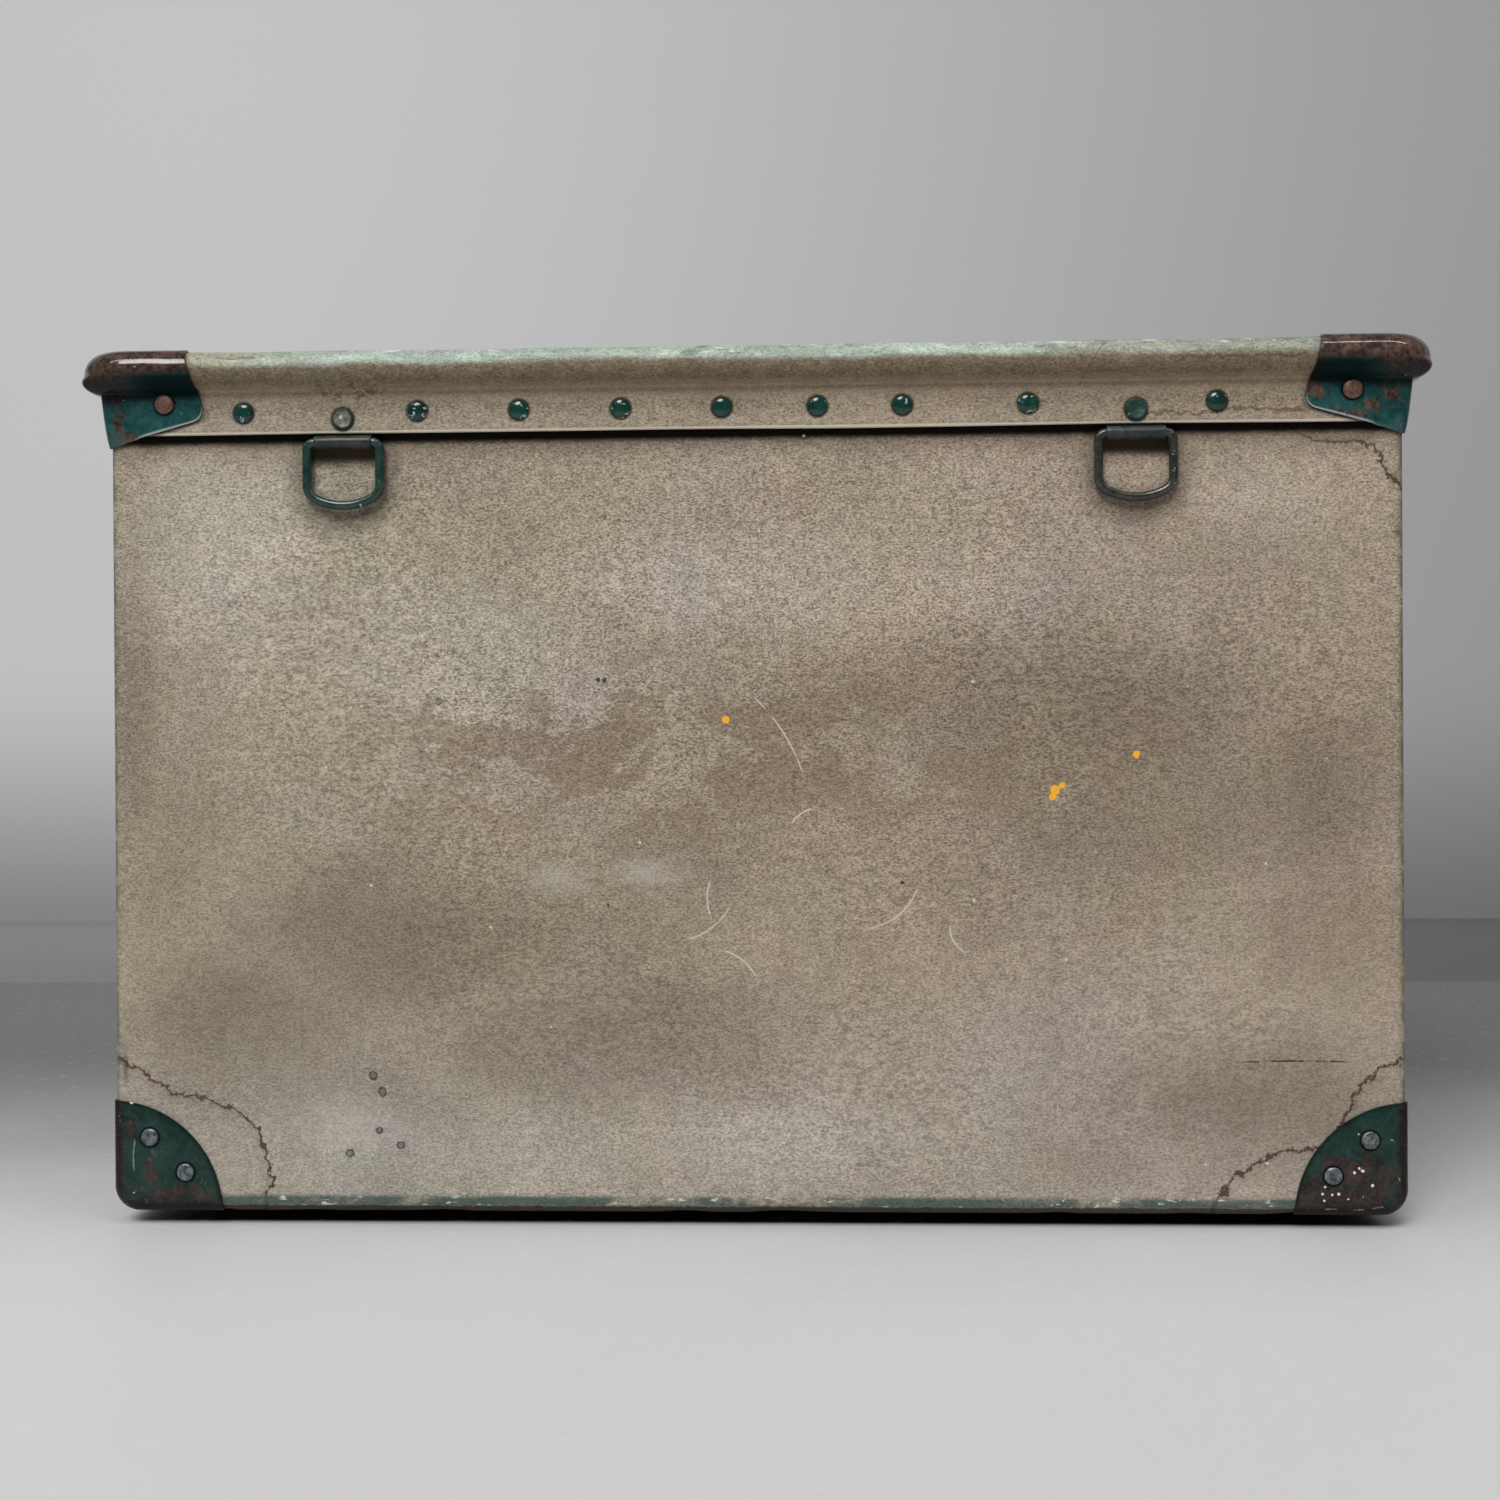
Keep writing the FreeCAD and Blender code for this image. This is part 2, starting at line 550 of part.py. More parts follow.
def build():
    nodes = {}
    holes = []
    burred = LEG_OUT + INNER_FACE + BURR_STEEL
    collar_z = COLLAR_Z + COLLAR_RIVET_UP
    for side in SIDES:
        places = collar_places(side)
        for name, shape in (("rivets", rivet(COLLAR_HEAD, burred)), ("burrs", burr(burred))):
            group = [on_side(shape, side, x, LEG_OUT, collar_z) for x in places]
            nodes["collar_%s_%s" % (name, side)] = Part.makeCompound(group)
        holes += [on_side(hole(burred), side, x, LEG_OUT, collar_z) for x in places]

    ring_places = [(side, name, share * BODY_WIDTH / 2) for side in ("front", "back")
                   for name, share in zip(("left", "right"), RING_PLACES)]
    clip_rivet = dished_rivet(CLIP_HEAD, CLIP_DISH, burred)
    for name, shape in (("clip_rivets", clip_rivet), ("clip_burrs", burr(burred))):
        group = [on_side(shape, side, x, LEG_OUT, CLIP_RIVET_Z) for side, _, x in ring_places]
        nodes[name] = Part.makeCompound(group)
    holes += [on_side(hole(burred), side, x, LEG_OUT, CLIP_RIVET_Z) for side, _, x in ring_places]

    cap_seat = LEG_OUT + CAP_OUT
    cap_grip = cap_seat + INNER_FACE
    cap_places = [(side, RIM_CAP_RIVET_LEFT - SIDES[side][1] / 2) for side in SIDES]
    cap_places += [(side, SIDES[side][1] / 2 - RIM_CAP_RIVET_RIGHT) for side in SIDES]
    cap_rivet = rivet(RIM_CAP_HEAD, cap_grip)
    nodes["rim_cap_rivets"] = Part.makeCompound(
        [on_side(cap_rivet, side, x, cap_seat, RIM_CAP_RIVET_Z) for side, x in cap_places])
    holes += [on_side(hole(cap_grip), side, x, cap_seat, RIM_CAP_RIVET_Z) for side, x in cap_places]

    grips = (CAP_OUT + SHEET, CAP_OUT + 2 * SHEET, CAP_OUT + SHEET)
    nodes["base_cap_rivets"] = Part.makeCompound(
        base_cap_fasteners(lambda grip: rivet(BASE_CAP_HEAD, grip), *grips))
    holes += base_cap_fasteners(hole, *grips)

    seam_grip = 2 * SHEET + BURR_STEEL
    for side in ("right", "left"):
        places = seam_places(side)
        for name, shape in (("rivets", rivet(SEAM_HEAD, seam_grip)), ("burrs", burr(seam_grip))):
            group = [on_side(shape, side, along, 0, z) for along, z in places]
            nodes["seam_%s_%s" % (name, side)] = Part.makeCompound(group)
        holes += [on_side(hole(seam_grip), side, along, 0, z) for along, z in places]

    screws = [moved(screw(), place) for place in screw_places()]
    screw_hole = hole(SHEET + SCREW_BITE + HOLE_SLACK, SCREW_RADIUS)
    nodes["runner_screws"] = Part.makeCompound(screws)
    holes += [moved(screw_hole, place) for place in screw_places()]

    nodes["main_sheet"] = drilled(main_sheet(), holes)
    for side in ("right", "left"):
        panel = end_panel()
        if side == "left":
            panel = panel.mirror(Vector(0, 0, 0), Vector(1, 0, 0))
        nodes["end_panel_" + side] = drilled(panel, holes)
    for side in SIDES:
        nodes["rim_collar_" + side] = drilled(rim_collar(side), holes)
        nodes["rim_core_" + side] = rim_core(side)
    rim = rim_cap()
    base = base_cap()
    for corner in CORNERS:
        nodes["rim_cap_" + corner] = drilled(to_corner(rim, corner), holes)
        nodes["base_cap_" + corner] = drilled(to_corner(base, corner), holes)
    for side, name, x in ring_places:
        label = "%s_%s" % (side, name)
        nodes["ring_clip_" + label] = drilled(turned(ring_clip(x), side), holes)
        nodes["d_ring_" + label] = turned(d_ring(x), side)
    runner = base_runner()
    nodes["base_runner_front"] = drilled(runner, holes)
    nodes["base_runner_back"] = drilled(runner.mirror(Vector(0, 0, 0), Vector(0, 1, 0)), holes)
    return nodes


os.makedirs("parts", exist_ok=True)
for node, shape in build().items():
    shape.exportStep("parts/%s.step" % node)
    volumes = [solid.Volume for solid in shape.Solids]
    print("%-24s solids %2d  valid %s  volume %.1f" % (node, len(volumes), shape.isValid(), sum(volumes)))
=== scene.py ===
import random
from math import atan2, copysign, cos, exp, hypot, pi, radians, sin, sqrt, tan

import bmesh
import bpy
from mathutils import Matrix, Vector, noise


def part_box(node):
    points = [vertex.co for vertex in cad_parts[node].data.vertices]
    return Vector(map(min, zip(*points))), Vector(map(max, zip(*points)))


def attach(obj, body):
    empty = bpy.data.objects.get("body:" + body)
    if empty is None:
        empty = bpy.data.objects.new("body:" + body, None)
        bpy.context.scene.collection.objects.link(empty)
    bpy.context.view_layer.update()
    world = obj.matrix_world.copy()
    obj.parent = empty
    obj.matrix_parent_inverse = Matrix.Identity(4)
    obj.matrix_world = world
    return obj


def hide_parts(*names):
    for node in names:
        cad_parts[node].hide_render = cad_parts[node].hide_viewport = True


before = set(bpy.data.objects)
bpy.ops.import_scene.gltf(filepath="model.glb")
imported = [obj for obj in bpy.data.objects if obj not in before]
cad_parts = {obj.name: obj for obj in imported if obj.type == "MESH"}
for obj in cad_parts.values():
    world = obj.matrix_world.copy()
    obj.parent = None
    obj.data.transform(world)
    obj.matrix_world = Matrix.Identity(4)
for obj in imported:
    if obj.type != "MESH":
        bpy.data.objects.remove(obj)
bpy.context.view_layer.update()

# Looks of an open-topped storage box of worn vulcanised fibre. +Z up, front towards -Y.
# Sizes are in millimetres; MM turns them into metres where they are handed over.

MM = 0.001
QUARTER = pi / 2

# Stock sizes
SHEET = 3.5
SHEET_EDGE = 0.4            # rounding of its cut edges
STRIP = 2.4
FOLD_RADIUS = 6.5           # upright bends and long base bends
END_RADIUS = 14.0           # base bends under the ends
FLANGE = 60.0
NOTCH = 18.0                # corner notch above the base
SEAM_GAP = 0.5
PANEL_PRESS = 4.0           # width of the step round the field of an end panel
LEG_OUT = 4.4               # collar's outer face off the wall
CREASE_RADIUS = 2.2
COLLAR_UNDER_CAP = 8.0      # collar ends this far along from the corner's axis, under its cap
COLLAR_SAG = 0.7            # its lower edge has crept down
COLLAR_EDGE = 0.7
COLLAR_STEP = 6.0
CAP_STEEL = 1.2
STEEL_EDGE = 0.3
CAP_TOP_REACH = 49.5        # length of a rim cap's arm at its top
CAP_EDGE_DROP = 41.0        # fall of the arm's end, before its lower corner
CAP_ROUND = 7.0
BASE_CAP_REACH = 67.5
RING_CORNER = 4.4
RING_SHOULDER = 31.0
RING_SHOULDER_RADIUS = 9.0
RING_POINT = 41.8
RING_FLANK = 1.0
RING_STEP = 0.7
WELD_WIDTH = 1.6
WELD_GROOVE = 0.55
WIRE_SEGMENTS = 20
CLIP_STEEL = 0.9
CLIP_BRIDGE = 2.6           # height over which the front leg comes back to the rear one
CLIP_WRAP = radians(128)
SHANK_RADIUS = 2.4
TAIL_RADIUS = 3.6
TAIL_HEIGHT = 1.5
HEAD_EDGE = 0.45
HEAD_SEGMENTS = 28
HEAD_LEAN = 1.5             # degrees


def box(node):
    """Lowest and highest corners of a CAD node."""
    low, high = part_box(node)
    return low / MM, high / MM


# Places read from the frame
sheet_low, sheet_high = box("main_sheet")
HALF_W = sheet_high.x
HALF_D = sheet_high.y
BASE_Z = sheet_low.z
WALL_TOP = sheet_high.z
collar_low, collar_high = box("rim_collar_front")
RIM_TOP = collar_high.z
COLLAR_Z = collar_low.z
BEAD_R = (collar_high.y - collar_low.y) / 2
BEAD_OUT = -HALF_D - collar_low.y - BEAD_R
BEAD_Z = RIM_TOP - BEAD_R
CORNER_IN = HALF_W - collar_high.x
FLANGE_TOP = COLLAR_Z - 6.0
CREASE_U = LEG_OUT + CREASE_RADIUS
CREASE_V = -sqrt((BEAD_R + CREASE_RADIUS) ** 2 - (CREASE_U - BEAD_OUT) ** 2)
cap_low, cap_high = box("rim_cap_front_right")
CAP_TOP = cap_high.z
CAP_OUT = CAP_TOP - RIM_TOP
CAP_FACE = LEG_OUT + CAP_OUT
CAP_TIP_DROP = CAP_TOP - cap_low.z
CAP_SKIRT_REACH = HALF_W - cap_low.x
CAP_SLOPE = (CAP_TIP_DROP - CAP_EDGE_DROP) / CAP_SKIRT_REACH
CAP_CREASE = CAP_TOP - BEAD_Z - CREASE_V        # drop of the crease below a rim cap's top

SIDES = {"front": 0, "right": 1, "back": 2, "left": 3}        # quarter turns about Z
CORNERS = {"front_right": (1, 1), "front_left": (-1, 1), "back_right": (1, -1), "back_left": (-1, -1)}


# Small helpers

def spread(first, last, count):
    return [first + (last - first) * i / (count - 1) for i in range(count)]


def arc(middle, radius, first, last, count):
    """Points on an arc about a middle, from one angle to another."""
    a, b = middle
    return [(a + radius * cos(t), b + radius * sin(t)) for t in spread(first, last, count)]


def smooth(value, low, high):
    """Smooth step from 0 at low to 1 at high; high may be below low."""
    t = min(1.0, max(0.0, (value - low) / (high - low)))
    return t * t * (3 - 2 * t)


def drift(*place, seed=0.0):
    """Smooth noise of about -1 to 1 at a place given in wavelengths."""
    spot = Vector(tuple(place) + (0.0,) * (3 - len(place)))
    return noise.noise(spot + Vector((seed, 3.1 * seed, 7.7 * seed)))


def on_side(side, along, out, height):
    """Point on a side: along it from its middle, out from the wall's face, at a height."""
    half = HALF_D if side in ("front", "back") else HALF_W
    x, y = along, -half - out
    for _ in range(SIDES[side]):
        x, y = -y, x
    return (x, y, height)


class Skin:
    """Points, faces and point values of one piece."""

    def __init__(self, rows=(), wrap=False, **values):
        self.points = []
        self.faces = []
        self.values = {}
        if rows:
            self.patch(rows, wrap, **values)

    def patch(self, rows, wrap=False, **values):
        """Adds a grid of points, given as rows of equal length; wrap joins each row's ends."""
        start = len(self.points)
        wide = len(rows[0])
        for row in rows:
            self.points += row
        for name, grid in values.items():
            layer = self.values.setdefault(name, [])
            for row in grid:
                layer += row
        for i in range(len(rows) - 1):
            for j in range(wide if wrap else wide - 1):
                a = start + i * wide + j
                b = start + i * wide + (j + 1) % wide
                self.faces.append((a, b, b + wide, a + wide))

    def lid(self, first, count):
        """Closes a ring of points with one face."""
        self.faces.append(tuple(range(first, first + count)))


def add_object(name, data):
    thing = bpy.data.objects.new(name, data)
    bpy.context.scene.collection.objects.link(thing)
    return thing


def make_mesh(name, points, faces, material):
    mesh = bpy.data.meshes.new(name)
    mesh.from_pydata([Vector(p) * MM for p in points], [], faces)
    mesh.materials.append(material)
    return mesh


def make_piece(name, skin, material, nodes, body="box", merge=0.0, facing=None):
    """Object made from a skin, standing for the given CAD nodes."""
    mesh = make_mesh(name, skin.points, skin.faces, material)
    for label, layer in skin.values.items():
        mesh.attributes.new(label, "FLOAT", "POINT").data.foreach_set("value", layer)
    work = bmesh.new()
    work.from_mesh(mesh)
    if merge:
        bmesh.ops.remove_doubles(work, verts=work.verts, dist=merge * MM)
    bmesh.ops.recalc_face_normals(work, faces=work.faces)
    if facing is not None:
        probe = max(work.faces, key=lambda f: f.calc_center_median().dot(facing))
        if probe.normal.dot(facing) < 0:
            bmesh.ops.reverse_faces(work, faces=work.faces)
    for face in work.faces:
        face.smooth = True
    work.to_mesh(mesh)
    work.free()
    piece = add_object(name, mesh)
    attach(piece, body)
    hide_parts(*nodes)
    return piece


def thicken(piece, thickness, edge, offset=-1.0, even=True):
    """Gives a surface its thickness, inwards unless told, and rounds the cut edges."""
    solid = piece.modifiers.new("thickness", "SOLIDIFY")
    solid.thickness = thickness * MM
    solid.offset = offset
    solid.use_even_offset = even
    round_edges(piece, edge)


def round_edges(piece, edge):
    bevel = piece.modifiers.new("edges", "BEVEL")
    bevel.width = edge * MM
    bevel.segments = 2
    bevel.limit_method = "ANGLE"
    bevel.angle_limit = radians(50.0)


# Materials

def colour(red, green, blue):
    """Linear colour from sRGB values of 0 to 255."""
    def linear(v):
        v /= 255
        return v / 12.92 if v <= 0.04045 else ((v + 0.055) / 1.055) ** 2.4
    return (linear(red), linear(green), linear(blue), 1.0)


class Finish:
    """A material under construction: short forms for its nodes, and a colour that coats are laid over."""

    def __init__(self, name):
        self.material = bpy.data.materials.new(name)
        self.material.use_nodes = True
        self.tree = self.material.node_tree
        self.tree.nodes.clear()
        self.shader = self.node("ShaderNodeBsdfPrincipled", {})
        self.node("ShaderNodeOutputMaterial", {0: self.shader.outputs[0]})
        coords = self.node("ShaderNodeTexCoord", {}).outputs
        inputs = {"Vector": coords["Object"], "Scale": (1 / MM, 1 / MM, 1 / MM)}
        self.place = self.make("ShaderNodeMapping", inputs)
        self.x, self.y, self.z = self.axes(self.place)
        self.flat = self.make("ShaderNodeCombineXYZ", {0: self.x, 2: self.z})
        self.facing_y, self.facing_z = self.axes(coords["Normal"])[1:]
        self.base = None

    def node(self, kind, inputs, **settings):
        node = self.tree.nodes.new(kind)
        for key, value in settings.items():
            setattr(node, key, value)
        for key, value in inputs.items():
            self.feed(node.inputs[key], value)
        return node

    def make(self, kind, inputs, output=0, **settings):
        """An output of a new node."""
        return self.node(kind, inputs, **settings).outputs[output]

    def feed(self, socket, value):
        """Links a socket, or sets it; colours are given in sRGB values of 0 to 255."""
        if isinstance(value, bpy.types.NodeSocket):
            self.tree.links.new(value, socket)
        elif socket.type == "RGBA":
            socket.default_value = colour(*value)
        else:
            socket.default_value = value

    def axes(self, vector):
        return self.node("ShaderNodeSeparateXYZ", {0: vector}).outputs

    def length(self, vector):
        return self.make("ShaderNodeVectorMath", {0: vector}, "Value", operation="LENGTH")

    def math(self, operation, a, b=0.0):
        return self.make("ShaderNodeMath", {0: a, 1: b}, operation=operation)

    def chain(self, operation, terms):
        total, *others = terms
        for term in others:
            total = self.math(operation, total, term)
        return total

    def add(self, *terms):
        return self.chain("ADD", terms)

    def times(self, *terms):
        return self.chain("MULTIPLY", terms)

    def most(self, terms):
        return self.chain("MAXIMUM", terms)

    def less(self, a, b):
        return self.math("SUBTRACT", a, b)

    def off(self, value, middle=0.0):
        """How far a value is from a middle, to either side."""
        return self.math("ABSOLUTE", self.less(value, middle) if middle else value)

    def rise(self, value, low, high):
        """0 below low, 1 above high, smooth between; falls instead where low is the larger."""
        falls = float(low > high)
        inputs = {"Value": value, "From Min": min(low, high), "From Max": max(low, high),
                  "To Min": falls, "To Max": 1.0 - falls}
        return self.make("ShaderNodeMapRange", inputs, interpolation_type="SMOOTHSTEP")

    def range(self, value, low, high):
        """Straight map of 0..1 onto low..high."""
        return self.make("ShaderNodeMapRange", {"Value": value, "To Min": low, "To Max": high})

    def swing(self, value, reach):
        """Moves a noise of 0 to 1 to either side of 0."""
        return self.times(self.add(value, -0.5), reach)

    def moved(self, stretch, shift):
        """The place, stretched and moved by a shift in metres, so that noises differ."""
        shift /= MM
        inputs = {"Vector": self.place, "Location": (shift, 1.7 * shift, 2.9 * shift), "Scale": stretch}
        return self.make("ShaderNodeMapping", inputs)

    def noise(self, size, detail=3.0, rough=0.55, warp=0.0, stretch=(1, 1, 1), shift=0.0):
        """Noise with features of about the given size."""
        inputs = {"Vector": self.moved(stretch, shift), "Scale": 0.6 / size, "Detail": detail,
                  "Roughness": rough, "Distortion": warp}
        return self.make("ShaderNodeTexNoise", inputs)

    def flecks(self, size, share, shift):
        """Sparse small dots on cells of the given size."""
        inputs = {"Vector": self.moved((1, 1, 1), shift), "Scale": 1.0 / size}
        cells = self.node("ShaderNodeTexVoronoi", inputs).outputs
        pick = self.make("ShaderNodeSeparateColor", {0: cells["Color"]})
        return self.times(self.rise(cells["Distance"], 0.13, 0.06), self.math("LESS_THAN", pick, share))

    def value(self, name):
        """A point value stored on the mesh."""
        return self.make("ShaderNodeAttribute", {}, "Fac", attribute_name=name)

    def mix(self, factor, a, b):
        return self.make("ShaderNodeMix", {0: factor, 6: a, 7: b}, 2, data_type="RGBA")

    def tint(self, base, value, saturation=1.0):
        inputs = {"Value": value, "Saturation": saturation, "Color": base}
        return self.make("ShaderNodeHueSaturation", inputs)

    def lay(self, coat, *shares):
        """Covers the colour so far with a coat, by the product of its shares."""
        self.base = self.mix(self.times(*shares), self.base, coat)

    def front_reach(self, x, z):
        """Distance from a place on the front, whatever the depth."""
        inputs = {0: self.flat, 1: (x, 0.0, z)}
        return self.make("ShaderNodeVectorMath", inputs, "Value", operation="DISTANCE")

    def spot(self, x, z, radius, ragged):
        """Blot on the front, 1 inside, with an edge moved by the ragged value."""
        return self.rise(self.add(self.front_reach(x, z), ragged), radius, 0.7 * radius)

    def spots(self, table, ragged, share=1.0):
        return self.most([self.spot(x, z, share * radius, ragged) for x, z, radius in table])

    def cloud(self, x, z, half_width, half_height, ragged):
        """Soft oval on the front, with a limit broken up by a noise of 0 to 1."""
        inputs = {"Vector": self.flat, "Location": (-x / half_width, 0.0, -z / half_height),
                  "Scale": (1 / half_width, 0.0, 1 / half_height)}
        way = self.length(self.make("ShaderNodeMapping", inputs))
        return self.rise(self.add(way, ragged), 1.7, 0.5)

    def clouds(self, table, ragged):
        return self.most([self.cloud(*oval, ragged) for oval in table])

    def finish(self, roughness, height=None, depth=0.0, **others):
        """The material, with its roughness, its relief and other inputs of the shader."""
        self.feed(self.shader.inputs["Base Color"], self.base)
        self.feed(self.shader.inputs["Roughness"], roughness)
        for key, value in others.items():
            self.feed(self.shader.inputs[key.replace("_", " ")], value)
        if height is not None:
            bump = self.make("ShaderNodeBump", {"Strength": 1.0, "Distance": depth * MM, "Height": height})
            self.feed(self.shader.inputs["Normal"], bump)
        return self.material


# Fibre: tan sheet with fine felted grain, mottling, haze, tide marks and worn paint on the bends

def fibre_grain(f):
    """Fine felted grain of 0 to 1: specks with a slight run along the sheet."""
    specks = f.noise(0.7, 3.0, 0.8, stretch=(0.55, 0.55, 1.0))
    dots = f.noise(0.5, 2.0, 0.8, shift=3.0)
    felt = f.noise(3.0, 3.0, 0.7, stretch=(0.6, 0.6, 1.0), shift=6.0)
    return f.rise(f.add(f.times(specks, 0.56), f.times(dots, 0.26), f.times(felt, 0.18)), 0.37, 0.63)


def fibre_ground(f, grain):
    """Mottled colour of the bare fibre, greener to the left."""
    patches = f.rise(f.noise(38, 6.0, 0.65, 0.8, shift=1.0), 0.40, 0.60)
    bruises = f.rise(f.noise(80, 4.0, 0.55, 0.5, shift=5.0), 0.45, 0.72)
    leftward = f.range(f.rise(f.x, -330, 330), 0.30, -0.20)
    buff = f.mix(grain, (98, 84, 68), (202, 184, 161))
    olive = f.mix(grain, (95, 90, 71), (191, 183, 159))
    lilac = f.mix(grain, (102, 90, 84), (202, 188, 180))
    ground = f.mix(f.add(f.times(patches, 0.45), leftward), buff, olive)
    ground = f.mix(f.times(bruises, 0.5), ground, lilac)
    shade = f.add(f.times(f.noise(24, 4.0, 0.6, 0.6, shift=41.0), 0.46),
                  f.times(f.noise(100, 3.0, 0.5, 0.6, shift=43.0), 0.44), 0.54)
    return f.tint(ground, shade)


# Marks on the front, from its middle and from the floor
# Painted light and painted shade of the front's bows, laid as soft clouds
PAINTED_LIGHT_CLOUDS = (  # middle, half sizes and strength
    (-312, 395, 85, 95, 0.35), (-190, 345, 170, 70, 0.24), (-10, 384, 190, 44, 0.24),
    (300, 437, 70, 38, 0.15), (-195, 42, 160, 36, 0.20), (26, 50, 120, 36, 0.16))
PAINTED_SHADE_CLOUDS = (
    (200, 302, 200, 70, 0.40), (250, 246, 230, 80, 0.26), (335, 275, 75, 95, 0.40),
    (-20, 225, 160, 46, 0.15), (-190, 175, 200, 70, 0.38), (-90, 118, 145, 60, 0.37),
    (-374, 300, 26, 130, 0.30), (-350, 215, 55, 80, 0.20), (300, 78, 125, 54, 0.44),
    (-312, 132, 90, 58, 0.36), (348, 180, 60, 60, 0.25), (215, 42, 75, 28, 0.16))
STAINS = ((-378, 95, 2.2, 13), (381, 410, 3.0, 5))
HAZES = ((-117, 207, 26, 13), (-62, 211, 28, 12), (-235, 60, 40, 20))
WORN_AREA = (-20, 280, 300, 74)
OIL_SPOTS = ((-227, 90, 2.8), (-222, 80, 3.0), (-224, 57.5, 2.8), (-211, 48.5, 3.0), (-242, 43.5, 3.3),
             (-186, 314, 1.8))
BLACK_SPOTS = ((-90.5, 326.5, 1.5), (-86.5, 326, 1.5), (-90, 320.5, 0.9), (-85, 192, 1.2), (90, 205, 1.0))
PAINT_DOTS = ((-14.2, 302, 2.6), (228.3, 280.2, 2.4), (180.6, 259.4, 3.4), (184.4, 262, 2.4),
              (179.2, 255.6, 2.2))
SCRATCHES = (     # middle, length and heading in degrees, and how far the line bows
    (20, 294, 66, -58, 5), (-24, 178, 40, 36, -5), (-4, 158, 34, -42, 5), (88, 186, 46, 40, -8),
    (-26, 196, 26, 90, 3), (30, 246, 18, 35, 2), (120, 170, 22, 120, 4))
DARK_SCRATCH = (320, 99.5, 74, 0, 1)
TIDE_MARKS = (    # corner as shares of half the front and of the height, then radius by share of a turn
    ((-1.0, 0.0), ((0.0, 92), (0.06, 93), (0.12, 98), (0.31, 99), (0.51, 90), (0.74, 82), (1.0, 93))),
    ((1.0, 0.0), ((0.0, 116), (0.15, 100), (0.23, 92), (0.34, 74), (0.5, 60), (0.65, 68), (0.77, 80),
                  (1.0, 92))),
    ((1.0, 1.0), ((0.0, 76), (0.1, 64), (0.21, 49), (0.33, 33), (0.55, 28), (0.77, 33), (0.93, 41),
                  (1.0, 46))))
TIDE_REACH = 160.0        # radius that the top of a tide mark's curve stands for
STRIP_SPECKS = (-238, 499, 34, 10)                        # cluster of black specks, placed as the clouds are
STRIP_TIDES = ((276, 481.5, 56), (286, 511.5, 42))        # middle, height and half length
STRIP_CRACKS = ((-322, 511, 26, -30, 1), (202, 511, 34, 58, 2))


def jagged(f, size, rough, slow, quick):
    """Uneven shift of a line to either side: a slow swing and a fine one."""
    return f.add(f.swing(f.noise(size, 2.0, rough, shift=20.0), slow),
                 f.swing(f.noise(3.2, 3.0, 0.7, shift=24.0), quick))


def tide_line(f, corner, radii, uneven):
    """Ragged line where water stopped: its radius about a corner follows a curve over the turn."""
    share = f.times(f.math("ARCTAN2", f.off(f.z, corner[1]), f.off(f.x, corner[0])), 1 / QUARTER)
    node = f.node("ShaderNodeFloatCurve", {"Value": share})
    curve = node.mapping.curves[0]
    curve.points[0].location = (radii[0][0], radii[0][1] / TIDE_REACH)
    curve.points[-1].location = (radii[-1][0], radii[-1][1] / TIDE_REACH)
    for place, radius in radii[1:-1]:
        curve.points.new(place, radius / TIDE_REACH)
    node.mapping.update()
    away = f.less(f.add(f.front_reach(*corner), uneven), f.times(node.outputs[0], TIDE_REACH))
    shade = f.times(f.rise(away, -9, 0), f.rise(away, 0.4, -0.4))
    return f.add(f.rise(f.off(away), 1.8, 0.5), f.times(shade, 0.22))


def scratch(f, x, z, length, heading, bow, breaks):
    """Thin line with a bow, broken along its length."""
    inputs = {"Vector": f.flat, "Location": (x, 0, z), "Rotation": (0, -radians(heading), 0)}
    along, _, aside = f.axes(f.make("ShaderNodeMapping", inputs, vector_type="TEXTURE"))
    curl = f.times(along, along, 4 * bow / (length * length))
    span = f.rise(f.off(along), 0.5 * length, 0.3 * length)
    return f.times(f.rise(f.off(f.add(aside, curl)), 0.7, 0.25), span, breaks)


def front_clouds(f, front, grain, fine, broad):
    """Painted light and shade of the bowed front in soft clouds, then haze, stains and the patches worn in
    the middle.
    """
    def strongest(table):
        return f.most([f.times(f.cloud(*oval, broad), strength, front) for *oval, strength in table])
    # Painted light in the light clouds; painted shade in the dark ones, which are also tinted brown
    light = strongest(PAINTED_LIGHT_CLOUDS)
    dark = strongest(PAINTED_SHADE_CLOUDS)
    dust = f.times(f.rise(f.z, 170, 60), front, -0.25)
    f.base = f.tint(f.base, f.add(light, f.times(dark, -0.75), 1.0), f.add(f.times(light, -0.9), dust, 1.0))
    f.lay(f.mix(grain, (84, 66, 48), (148, 126, 100)), dark, 0.8)
    f.lay((196, 190, 182), f.clouds(HAZES, broad), front, f.range(fine, 0.2, 0.55))
    f.lay((70, 66, 40), f.clouds(STAINS, broad), front, 0.7)
    patches = f.rise(f.noise(24, 5.0, 0.68, 0.3, stretch=(0.7, 1, 1.1), shift=31.0), 0.49, 0.55)
    brown = f.mix(grain, (104, 85, 65), (150, 129, 104))
    f.lay(brown, f.cloud(*WORN_AREA, broad), front, patches, f.range(fine, 0.5, 1.0))


